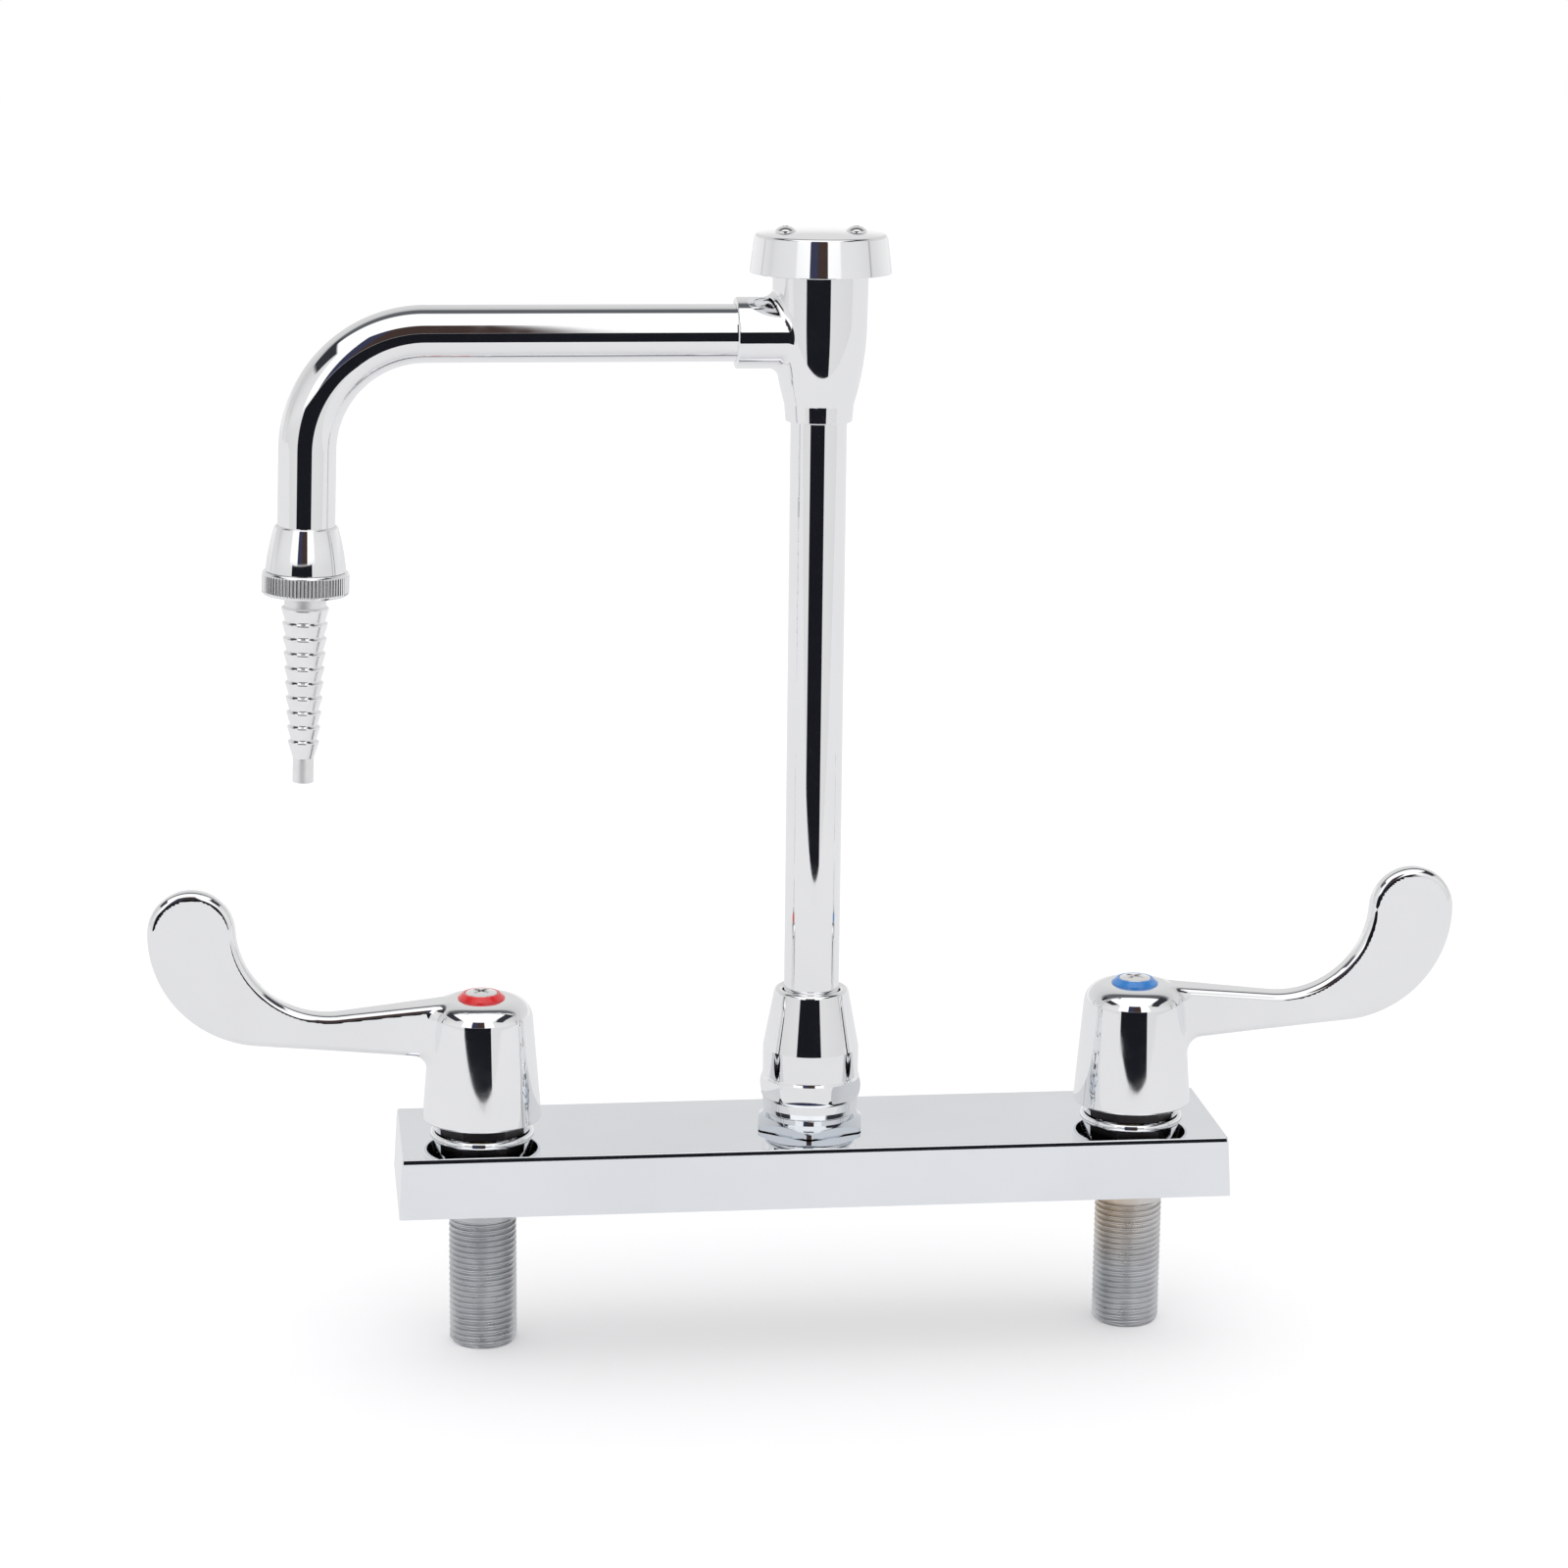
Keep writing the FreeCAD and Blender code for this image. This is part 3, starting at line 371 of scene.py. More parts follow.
def turned(outline, segments=128, place=None, downward=False):
    """Lathe an outline about Z. Travel with the material on the left, so that normals point outward."""
    points = np.array(outline.points, float)
    starts, ends = outline.normals()
    if downward:
        starts, ends = -starts, -ends
    count = len(points) - outline.closed
    angles = np.arange(segments) * 2 * math.pi / segments
    ring = np.stack([np.cos(angles), np.sin(angles)], axis=1)
    verts = []
    first = []
    for radius, height in points[:count]:
        first.append(len(verts))
        verts += [(radius * c, radius * s, height) for c, s in ring[:1 if radius < 1e-9 else segments]]
    faces = []
    corners = []
    for i in range(len(points) - 1):
        # corners of a strip, low end first; a point on the axis is one corner whose normal has no side part
        low, high = (i, starts[i]), ((i + 1) % count, ends[i])
        poles = [points[end][0] < 1e-9 for end, pair in (low, high)]
        if all(poles):
            continue
        for j in range(segments):
            k = (j + 1) % segments
            loop = [(low, j), (low, k), (high, k), (high, j)]
            loop = loop[1:] if poles[0] else loop[:3] if poles[1] else loop
            for (end, pair), spoke in loop[::-1] if downward else loop:
                side = (0, 0) if points[end][0] < 1e-9 else ring[spoke]
                corners.append((pair[0] * side[0], pair[0] * side[1], pair[1]))
            face = [first[end] + (0 if points[end][0] < 1e-9 else spoke) for (end, pair), spoke in loop]
            faces.append(face[::-1] if downward else face)
    corners = np.array(corners, float)
    corners /= np.maximum(np.linalg.norm(corners, axis=1), 1e-9)[:, None]
    if place is not None:
        verts = placed(verts, place)
        corners = corners @ np.array(place.to_3x3()).T
    return mesh_from(verts, faces, corners)


ON_LEG = Matrix.Translation((-ARM_REACH, 0, ARM_HEIGHT)) @ Matrix.Rotation(math.radians(LEG_LEAN), 4, "Y")


# Skins drawn round distance fields, for forms that flow into each other.
# A field takes points in millimetres and gives their distances and outward unit normals.

# Room left round a form in the grid in which its skin is found, and the steps of the two grids
SKIN_MARGIN = 3.0
LEVER_GRID = 0.6
BREAKER_GRID = 0.55


def joined(first, second, fillet=0.0):
    """Union of two fields with a rolling-ball fillet where they meet."""
    (a, m), (b, n) = first, second
    turn = np.clip(np.einsum("ij,ij->i", m, n), -0.999, 0.99999)
    p, q = fillet - a, fillet - b
    spread = 1 - turn * turn
    alpha = (p - turn * q) / spread
    beta = (q - turn * p) / spread
    towards = alpha[:, None] * m + beta[:, None] * n
    length = np.maximum(np.linalg.norm(towards, axis=1), 1e-9)
    in_fillet = (alpha > 0) & (beta > 0)
    nearer = (a < b)[:, None]
    distance = np.where(in_fillet, fillet - length, np.minimum(a, b))
    normal = np.where(in_fillet[:, None], towards / length[:, None], np.where(nearer, m, n))
    return distance, normal


def opposite(field):
    return -field[0], -field[1]


def within(first, second, rounding=0.0):
    """Overlap of two fields, its edge rounded."""
    return opposite(joined(opposite(first), opposite(second), rounding))


def half_space(points, place, direction):
    direction = np.array(direction, float)
    return (points - np.array(place, float)) @ direction, np.tile(direction, (len(points), 1))


def under(points, height):
    return half_space(points, (0, 0, height), (0, 0, 1))


def round_axis(points):
    """Distance from Z, and the direction away from it."""
    radius = np.hypot(points[:, 0], points[:, 1])
    return radius, points * (1, 1, 0) / np.maximum(radius, 1e-9)[:, None]


def about_axis(points, profile):
    """Field of a shape turned about Z, from a field of (radius, height)."""
    radius = np.maximum(np.hypot(points[:, 0], points[:, 1]), 1e-9)
    distance, outward = profile(radius, points[:, 2])
    return distance, np.stack([outward[:, 0] * points[:, 0] / radius, outward[:, 0] * points[:, 1] / radius,
                               outward[:, 1]], axis=1)


def along_arm(points, radius):
    """Field of an endless cylinder about the arm's axis."""
    y, z = points[:, 1], points[:, 2] - ARM_HEIGHT
    reach = np.maximum(np.hypot(y, z), 1e-9)
    return reach - radius, np.stack([np.zeros(len(y)), y / reach, z / reach], axis=1)


def slanted(low, high):
    """Profile of a straight side through two (radius, height) points, material towards the axis."""
    run = np.array(high, float) - np.array(low, float)
    out = np.array([run[1], -run[0]]) / np.linalg.norm(run)

    def profile(radius, height):
        distance = (radius - low[0]) * out[0] + (height - low[1]) * out[1]
        return distance, np.tile(out, (len(radius), 1))
    return profile


def curve(pieces):
    """Profile of joined lines and arcs in a plane; the nearest piece decides distance and side."""
    def profile(u, v):
        best = np.full(len(u), np.inf)
        distance = np.zeros(len(u))
        outward = np.zeros((len(u), 2))
        for piece in pieces:
            if piece[0] == "line":
                start, end = np.array(piece[1], float), np.array(piece[2], float)
                run = end - start
                length = np.linalg.norm(run)
                run /= length
                out = np.array([run[1], -run[0]])
                along = np.clip((u - start[0]) * run[0] + (v - start[1]) * run[1], 0, length)
                gap_u = u - start[0] - along * run[0]
                gap_v = v - start[1] - along * run[1]
                side = gap_u * out[0] + gap_v * out[1]
                away = np.tile(out, (len(u), 1))
            else:
                centre, radius, first, last, convex = piece[1:]
                du, dv = u - centre[0], v - centre[1]
                middle, half = (first + last) / 2, abs(last - first) / 2
                angle = (np.degrees(np.arctan2(dv, du)) - middle + 180) % 360 - 180
                held = np.radians(np.clip(angle, -half, half) + middle)
                gap_u = du - radius * np.cos(held)
                gap_v = dv - radius * np.sin(held)
                reach = np.maximum(np.hypot(du, dv), 1e-9)
                side = (reach - radius) * convex
                away = np.stack([du / reach, dv / reach], axis=1) * convex
            far = np.hypot(gap_u, gap_v)
            nearer = far < best
            best = np.where(nearer, far, best)
            distance = np.where(nearer, np.copysign(far, side), distance)
            outward = np.where(nearer[:, None], away, outward)
        return distance, outward
    return profile


def draw_onto(field, points, steps):
    for _ in range(steps):
        distance, normal = field(points)
        points = points - distance[:, None] * normal
    return points


def skin(field, low, high, step):
    """Even quads on a field's zero level: one point per crossed cell, drawn onto the surface and relaxed."""
    coarse = 4
    counts = [int(math.ceil((h - l) / step / coarse)) * coarse + 1 for l, h in zip(low, high)]
    axes = [l + step * np.arange(count) for l, count in zip(low, counts)]

    def sample(lines):
        grid = np.stack(np.meshgrid(*lines, indexing="ij"), axis=-1).reshape(-1, 3)
        return field(grid)[0].reshape([len(line) for line in lines])

    rough = sample([axis[::coarse] for axis in axes])
    nearest = np.ix_(*[(np.arange(count) + coarse // 2) // coarse for count in counts])
    values = rough[nearest]
    wanted = np.abs(values) < step * coarse * 1.2
    where = np.argwhere(wanted)
    values[wanted] = field(np.stack([axes[i][where[:, i]] for i in range(3)], axis=1))[0]
    solid = values < 0
    corners = [solid[i:solid.shape[0] - 1 + i, j:solid.shape[1] - 1 + j, k:solid.shape[2] - 1 + k]
               for i in (0, 1) for j in (0, 1) for k in (0, 1)]
    crossed = np.any(corners, axis=0) & ~np.all(corners, axis=0)
    number = np.full(crossed.shape, -1)
    number[crossed] = np.arange(crossed.sum())
    cells = np.argwhere(crossed)
    points = np.array(low, float) + step * (cells + 0.5)
    faces = []
    for axis in range(3):
        one, two = (axis + 1) % 3, (axis + 2) % 3
        flat = np.moveaxis(solid, (axis, one, two), (0, 1, 2))
        ids = np.moveaxis(number, (axis, one, two), (0, 1, 2))
        inner = flat[:, 1:-1, 1:-1]
        for outward in (True, False):
            change = (inner[:-1] & ~inner[1:]) if outward else (~inner[:-1] & inner[1:])
            i, j, k = np.nonzero(change)
            quad = np.stack([ids[i, j, k], ids[i, j + 1, k], ids[i, j + 1, k + 1], ids[i, j, k + 1]], axis=1)
            faces.append(quad if outward else quad[:, ::-1])
    faces = np.concatenate(faces)
    points = draw_onto(field, points, 8)
    ends = np.concatenate([faces[:, [0, 1]], faces[:, [1, 2]], faces[:, [2, 3]], faces[:, [3, 0]]])
    for _ in range(8):
        total = np.zeros_like(points)
        links = np.zeros(len(points))
        for here, there in (ends.T, ends.T[::-1]):
            np.add.at(total, here, points[there])
            np.add.at(links, here, 1)
        shift = 0.6 * (total / links[:, None] - points)
        normal = field(points)[1]
        shift -= np.einsum("ij,ij->i", shift, normal)[:, None] * normal
        points = draw_onto(field, points + shift, 2)
    return points, faces


class Skin:
    """Mesh data of a skin that can be cut by planes and closed by turned rims."""

    def __init__(self, field, low, high, step):
        points, faces = skin(field, low, high, step)
        self.field = field
        self.points = [tuple(p) for p in points]
        self.faces = [list(face) for face in faces.tolist()]
        self.rims = []

    def cut(self, place, direction):
        """Drop what lies beyond a plane and give the new edge points, which lie on plane and surface."""
        direction = np.array(direction, float)
        ahead = (np.array(self.points) - np.array(place, float)) @ direction
        crossings = {}
        kept = []

        def crossing(a, b):
            key = (min(a, b), max(a, b))
            if key not in crossings:
                share = ahead[key[0]] / (ahead[key[0]] - ahead[key[1]])
                start, end = (np.array(self.points[v]) for v in key)
                crossings[key] = len(self.points)
                self.points.append(tuple(start + share * (end - start)))
            return crossings[key]

        for face in self.faces:
            beyond = [ahead[v] > 0 for v in face]
            if not any(beyond):
                kept.append(face)
                continue
            if all(beyond):
                continue
            left = []
            for here, there in zip(face, face[1:] + face[:1]):
                if ahead[here] <= 0:
                    left.append(here)
                if (ahead[here] > 0) != (ahead[there] > 0):
                    left.append(crossing(here, there))
            if len(left) > 2:
                kept.append(left)
        self.faces = kept
        fresh = list(crossings.values())
        points = np.array([self.points[v] for v in fresh])
        for _ in range(5):
            distance, normal = self.field(points)
            level = normal - (normal @ direction)[:, None] * direction
            length = np.maximum(np.einsum("ij,ij->i", level, level), 1e-6)
            points = points - (distance / length)[:, None] * level
        for v, point in zip(fresh, points):
            self.points[v] = tuple(point)
        return fresh

    def close(self, fresh, frame, path, split):
        """Turned rim from the outer cut edge over a path to the inner one, in a frame whose Z points out.

        The path starts at the inner edge of the end face, goes outward over it and round the rim.
        """
        back = frame.inverted()
        local = {v: back @ Vector(self.points[v]) for v in fresh}
        reach = {v: math.hypot(p.x, p.y) for v, p in local.items()}
        angle = {v: math.atan2(p.y, p.x) for v, p in local.items()}
        outer = sorted((v for v in fresh if reach[v] > split), key=angle.get)
        inner = sorted((v for v in fresh if reach[v] <= split), key=angle.get)
        turn = np.array(frame.to_3x3())

        def ring(like, radius, height):
            made = []
            for v in like:
                made.append(len(self.points))
                place = frame @ Vector((radius * math.cos(angle[v]), radius * math.sin(angle[v]), height))
                self.points.append(tuple(place))
            return made

        def shade(v, pair):
            return tuple(turn @ np.array([pair[0] * math.cos(angle[v]), pair[0] * math.sin(angle[v]), pair[1]]))

        starts, ends = path.normals()
        rows = [ring(outer, *point) for point in path.points[1:-1]] + [outer]
        for i in range(1, len(path.points) - 1):
            low, high = rows[i - 1], rows[i]
            for j in range(len(outer)):
                k = (j + 1) % len(outer)
                self.rims.append(([low[j], high[j], high[k], low[k]],
                                  [shade(outer[j], -starts[i]), shade(outer[j], -ends[i]),
                                   shade(outer[k], -ends[i]), shade(outer[k], -starts[i])]))
        mouth = ring(inner, *path.points[0])
        wall = self.field(np.array([self.points[v] for v in inner]))[1]
        for j in range(len(inner)):
            k = (j + 1) % len(inner)
            self.rims.append(([inner[j], mouth[j], mouth[k], inner[k]],
                              [tuple(wall[j]), tuple(wall[j]), tuple(wall[k]), tuple(wall[k])]))
        out = tuple(turn @ np.array([0, 0, 1.0]))
        near, far = [angle[v] for v in inner], [angle[v] for v in outer]
        i = j = 0
        while i < len(inner) or j < len(outer):
            a, b = mouth[i % len(inner)], rows[0][j % len(outer)]
            if j >= len(outer) or (i < len(inner) and near[i] < far[j]):
                self.rims.append(([a, b, mouth[(i + 1) % len(inner)]], [out] * 3))
                i += 1
            else:
                self.rims.append(([a, b, rows[0][(j + 1) % len(outer)]], [out] * 3))
                j += 1

    def mesh(self, mirrored=False, shift=(0, 0, 0)):
        """Mesh of the skin and its rims, if asked mirrored across X, then shifted."""
        used = sorted({v for face in self.faces for v in face} | {v for face, shades in self.rims for v in face})
        place = {v: i for i, v in enumerate(used)}
        points = np.array(self.points)[used]
        normals = self.field(points)[1]
        faces = [[place[v] for v in face] for face in self.faces]
        corners = [normals[v] for face in faces for v in face]
        for face, shades in self.rims:
            faces.append([place[v] for v in face])
            corners += shades
        corners = np.array(corners)
        if mirrored:
            points = points * (-1, 1, 1)
            turned_round = []
            start = 0
            for face in faces:
                turned_round.append(corners[start:start + len(face)][::-1] * (-1, 1, 1))
                start += len(face)
                face.reverse()
            corners = np.concatenate(turned_round)
        return mesh_from(points + np.array(shift, float), faces, corners)


# Materials

class Shading:
    """Node tree of a material or the world. Inputs are numbers, colours or outputs of other nodes."""

    def __init__(self, owner):
        owner.use_nodes = True
        self.tree = owner.node_tree

    def set(self, socket, value):
        if isinstance(value, bpy.types.NodeSocket):
            self.tree.links.new(value, socket)
        elif isinstance(value, tuple) and socket.type == "RGBA":
            socket.default_value = (*value, 1)
        else:
            socket.default_value = value

    def add(self, kind, inputs=None, **settings):
        made = self.tree.nodes.new("ShaderNode" + kind)
        for name, value in settings.items():
            setattr(made, name, value)
        for name, value in (inputs or {}).items():
            self.set(made.inputs[name], value)
        return made.outputs

    def maths(self, operation, *values, clamp=False):
        return self.add("Math", dict(enumerate(values)), operation=operation, use_clamp=clamp)["Value"]

    def ramp(self, source, low, high, first=0.0, last=1.0, kind="LINEAR"):
        """From first to last while the source goes from low to high."""
        return self.add("MapRange", {"Value": source, "From Min": low, "From Max": high, "To Min": first,
                                     "To Max": last}, interpolation_type=kind)["Result"]

    def mix(self, factor, first, second):
        return self.add("Mix", {"Factor": factor, "A": first, "B": second}, data_type="RGBA")["Result"]

    def axes(self, kind):
        return self.add("SeparateXYZ", {"Vector": self.add("TexCoord")[kind]})

    def noise(self, scale, detail=4.0, roughness=0.55, stretch=None):
        source = self.add("TexCoord")["Object"]
        if stretch is not None:
            source = self.add("Mapping", {"Vector": source, "Scale": stretch})["Vector"]
        return self.add("TexNoise", {"Vector": source, "Scale": scale, "Detail": detail,
                                     "Roughness": roughness})["Fac"]


class Finish(Shading):
    """Material whose colour and roughness may drift with noise."""

    def __init__(self, name, metallic=1.0):
        self.material = bpy.data.materials.new(name)
        super().__init__(self.material)
        self.shader = self.tree.nodes["Principled BSDF"]
        self.shader.inputs["Metallic"].default_value = metallic

    def shade(self, colour, roughness):
        self.set(self.shader.inputs["Base Color"], colour)
        self.set(self.shader.inputs["Roughness"], roughness)

    def bump(self, height, strength, distance):
        bump = self.add("Bump", {"Height": height, "Strength": strength, "Distance": distance})
        self.set(self.shader.inputs["Normal"], bump["Normal"])


def chrome(name, colour, rough_low, rough_high, wave=0.0, wave_scale=60.0):
    """Bright plate: a faint colour drift, patchy polish and, where asked, slow waves left by buffing."""
    made = Finish(name)
    darker = tuple(c * 0.965 for c in colour)
    made.shade(made.mix(made.ramp(made.noise(22.0, 3.0), 0.35, 0.65), darker, colour),
               made.ramp(made.noise(140.0, 6.0), 0.42, 0.68, rough_low, rough_high))
    if wave:
        made.bump(made.noise(wave_scale, 2.0), wave, 0.0004)
    return made.material


def satin():
    """Turned nozzle under plate: bright on the serrations, brushed on the neck and tip beyond them."""
    made = Finish("nozzle_satin")
    rings = made.noise(900.0, 3.0, 0.5, (0.06, 0.06, 1.0))
    middle = ARM_HEIGHT - (BARB_FIRST + TIP_START) / 2
    reach, blend = (TIP_START - BARB_FIRST) / 2, 0.3
    beyond = made.maths("ABSOLUTE", made.maths("SUBTRACT", made.axes("Object")["Z"], middle * MM))
    brushed = made.ramp(beyond, (reach - blend) * MM, (reach + blend) * MM, 0.0, 0.38)
    made.shade(made.mix(made.ramp(made.noise(180.0), 0.3, 0.7), (0.90, 0.90, 0.90), (0.96, 0.96, 0.97)),
               made.maths("ADD", made.ramp(rings, 0.3, 0.7, 0.07, 0.12), brushed))
    made.bump(rings, 0.12, 0.00005)
    return made.material


def zinc(name, warm):
    """Dull plate on the supply threads, with a brassy bloom where it was heated."""
    made = Finish(name)
    tint = made.mix(made.ramp(made.noise(60.0, 5.0), 0.35, 0.7), (0.55, 0.56, 0.58), (0.74, 0.75, 0.77))
    if warm:
        place = made.axes("Object")
        bloom = made.maths("MULTIPLY", made.ramp(place["Z"], -0.030, -0.006, 0.0, 0.75),
                           made.ramp(place["X"], 0.106, 0.094, 0.25, 1.0))
        tint = made.mix(bloom, tint, (0.70, 0.55, 0.38))
    made.shade(tint, made.ramp(made.noise(240.0, 6.0), 0.3, 0.7, 0.24, 0.42))
    made.bump(made.noise(1500.0, 3.0), 0.15, 0.00006)
    return made.material


def plain_metal(name, first, second, rough_low, rough_high, scale):
    """Bare metal with fine lathe lines, between two colours."""
    made = Finish(name)
    rings = made.noise(700.0, 3.0, 0.5, (0.1, 0.1, 1.0))
    made.shade(made.mix(made.ramp(made.noise(scale, 5.0), 0.3, 0.7), first, second),
               made.ramp(rings, 0.3, 0.7, rough_low, rough_high))
    made.bump(rings, 0.1, 0.00005)
    return made.material


def moulded(name, first, second, rough_low, rough_high, scale, grain, coat=0.0):
    """Rubber, plastic, ceramic or enamel with a fine grain, between two colours."""
    made = Finish(name, 0.0)
    fine = made.noise(grain)
    made.shade(made.mix(made.ramp(made.noise(scale), 0.3, 0.7), first, second),
               made.ramp(fine, 0.3, 0.7, rough_low, rough_high))
    made.bump(fine, 0.08, 0.00004)
    made.shader.inputs["Coat Weight"].default_value = coat
    return made.material


CHROME = (0.93, 0.935, 0.945)
body_chrome = chrome("body_chrome", (0.885, 0.905, 0.935), 0.03, 0.055, 0.018, 26.0)
fitting_chrome = chrome("fitting_chrome", CHROME, 0.03, 0.06)
handle_chrome = chrome("handle_chrome", CHROME, 0.03, 0.055, 0.012, 40.0)
tube_chrome = chrome("tube_chrome", CHROME, 0.025, 0.05)
knurl_chrome = chrome("knurl_chrome", CHROME, 0.12, 0.2)
adapter_chrome = chrome("adapter_chrome", (0.74, 0.775, 0.82), 0.035, 0.065)
breaker_chrome = chrome("breaker_chrome", CHROME, 0.035, 0.06, 0.02, 55.0)
nozzle_satin = satin()
shank_zinc = {"hot": zinc("hot_shank_zinc", False), "cold": zinc("cold_shank_zinc", True)}
inner_brass = plain_metal("inner_brass", (0.60, 0.43, 0.20), (0.74, 0.57, 0.30), 0.22, 0.38, 80.0)
# Brass painted near black as painted shade, for the bonnet hexes under the levers and the bonnet under the breaker
# cap
painted_shade_brass = plain_metal("painted_shade_brass", (0.030, 0.028, 0.032), (0.055, 0.050, 0.052), 0.30, 0.45, 80.0)
# Darker grey metal for the bottoms of the knurl's grooves
groove_dark_metal = plain_metal("groove_dark_metal", (0.20, 0.20, 0.21), (0.32, 0.32, 0.33), 0.3, 0.45, 300.0)
screw_steel = plain_metal("screw_steel", (0.84, 0.84, 0.84), (0.95, 0.95, 0.95), 0.09, 0.16, 220.0)
clip_steel = plain_metal("clip_steel", (0.42, 0.42, 0.43), (0.56, 0.56, 0.57), 0.25, 0.4, 200.0)
seal_rubber = moulded("seal_rubber", (0.018, 0.018, 0.019), (0.03, 0.03, 0.031), 0.5, 0.72, 120.0, 900.0)
disc_ceramic = moulded("disc_ceramic", (0.82, 0.80, 0.76), (0.90, 0.89, 0.86), 0.12, 0.2, 70.0, 700.0)
bearing_plastic = moulded("bearing_plastic", (0.80, 0.79, 0.75), (0.86, 0.85, 0.82), 0.35, 0.5, 90.0, 800.0)
float_plastic = moulded("float_plastic", (0.74, 0.74, 0.71), (0.82, 0.82, 0.79), 0.35, 0.5, 90.0, 800.0)
index_enamel = {
    "hot": moulded("hot_index", (0.66, 0.018, 0.024), (0.78, 0.035, 0.04), 0.08, 0.15, 300.0, 900.0, 0.3),
    "cold": moulded("cold_index", (0.035, 0.19, 0.56), (0.06, 0.27, 0.68), 0.08, 0.15, 300.0, 900.0, 0.3),
}

# CAD nodes that stay, mostly hidden inside, with their finishes
kept_finishes = {
    "deck_gasket": seal_rubber, "spout_spud": inner_brass, "spud_o_rings": seal_rubber,
    # the breaker's bonnet is brass painted near black as painted shade under the cap, which darkens its reflection
    "friction_ring": bearing_plastic, "vb_bonnet_gasket": seal_rubber, "vb_bonnet": painted_shade_brass,
    "vb_float": float_plastic, "vb_float_seal": seal_rubber, "nozzle_washer": seal_rubber,
}
side_finishes = {
    "seat_seal": seal_rubber, "cartridge_sleeve": inner_brass, "fixed_disc": disc_ceramic,
    "moving_disc": disc_ceramic, "stem": inner_brass, "stem_o_ring": seal_rubber, "stem_clip": clip_steel,
}
for side, _ in SIDES:
    kept_finishes.update({side + "_" + node: finish for node, finish in side_finishes.items()})
for node, finish in kept_finishes.items():
    NODES[node].data.materials.clear()
    NODES[node].data.materials.append(finish)


# Deck body: a drafted block with rounded edges and a gasket recess underneath

def ring_points(length, width, radius, height):
    """Rounded rectangle at a height, with the outward direction of each point."""
    steps = 6
    points = []
    directions = []
    for quarter, (sign_x, sign_y) in enumerate(((1, 1), (-1, 1), (-1, -1), (1, -1))):
        centre = (sign_x * (length / 2 - radius), sign_y * (width / 2 - radius))
        for step in range(steps + 1):
            angle = math.radians(90 * quarter + 90 * step / steps)
            out = (math.cos(angle), math.sin(angle))
            points.append((centre[0] + radius * out[0], centre[1] + radius * out[1], height))
            directions.append(out)
    return points, directions


def stacked_rings(rings):
    """Closed skin over rings (points, directions, tilt up of the normal below the ring and above it)."""
    count = len(rings[0][0])

    def shade(direction, tilt):
        lift = math.radians(tilt)
        return (direction[0] * math.cos(lift), direction[1] * math.cos(lift), math.sin(lift))

    faces = []
    corners = []
    for i, (low, high) in enumerate(zip(rings, rings[1:])):
        for j in range(count):
            k = (j + 1) % count
            faces.append([i * count + j, i * count + k, (i + 1) * count + k, (i + 1) * count + j])
            corners += [shade(low[1][j], low[3]), shade(low[1][k], low[3]),
                        shade(high[1][k], high[2]), shade(high[1][j], high[2])]
    faces += [[(len(rings) - 1) * count + j for j in range(count)], list(range(count))[::-1]]
    corners += [(0, 0, 1)] * count + [(0, 0, -1)] * count
    return mesh_from([point for ring in rings for point in ring[0]], faces, corners)


def deck_body_mesh():
    """Drafted block whose side rolls over slightly under the upper edge, as buffing leaves it."""
    lean, roll = math.radians(BODY_DRAFT), math.radians(BODY_BUFF_TILT)
    recess = (BODY_LENGTH - 2 * GASKET_RIM, BODY_WIDTH - 2 * GASKET_RIM)
    rings = [(*ring_points(*recess, GASKET_CORNER, GASKET_THICKNESS), -90, 180),
             (*ring_points(*recess, GASKET_CORNER, 0), 180, -90),
             (*ring_points(BODY_LENGTH, BODY_WIDTH, BODY_CORNER, 0), -90, BODY_DRAFT)]
    edge_height = BODY_HEIGHT - BODY_EDGE * (1 - math.sin(roll))
    buff_height = edge_height - BODY_BUFF_RADIUS * (math.sin(roll) - math.sin(lean))
    inset = buff_height * math.tan(lean)
    steps = 6
    for radius, height, start, end in ((BODY_BUFF_RADIUS, buff_height, lean, roll),
                                       (BODY_EDGE, edge_height, roll, math.pi / 2)):
        for step in range(0 if start == lean else 1, steps + 1):
            tilt = start + (end - start) * step / steps
            here = inset + radius * (math.cos(start) - math.cos(tilt))
            level = height + radius * (math.sin(tilt) - math.sin(start))
            corner = max(BODY_CORNER - here * 0.2, 0.1)
            shade = math.degrees(tilt)
            rings.append((*ring_points(BODY_LENGTH - 2 * here, BODY_WIDTH - 2 * here, corner, level), shade, shade))
        inset = here
    return stacked_rings(rings)


new_piece("deck_body_skin", "base", body_chrome, ["deck_body"], deck_body_mesh())


# Supply shanks with a rolled pipe thread

def loop_faces(rings, around):
    """Quads through rings of points that follow each other down the outside and back up the inside."""
    return [[a * around + k, a * around + j, b * around + j, b * around + k]
            for a, b in zip(range(rings), [*range(1, rings), 0])
            for j, k in zip(range(around), [*range(1, around), 0])]


def loop_of(rings):
    """Points and faces of a closed tube about Z over rings given as (radii round the axis, height)."""
    around = len(rings[0][0])
    angles = np.arange(around) * 2 * math.pi / around
    points = [np.stack([radii * np.cos(angles), radii * np.sin(angles), np.full(around, height)], axis=1)
              for radii, height in rings]
    return np.concatenate(points), loop_faces(len(rings), around)


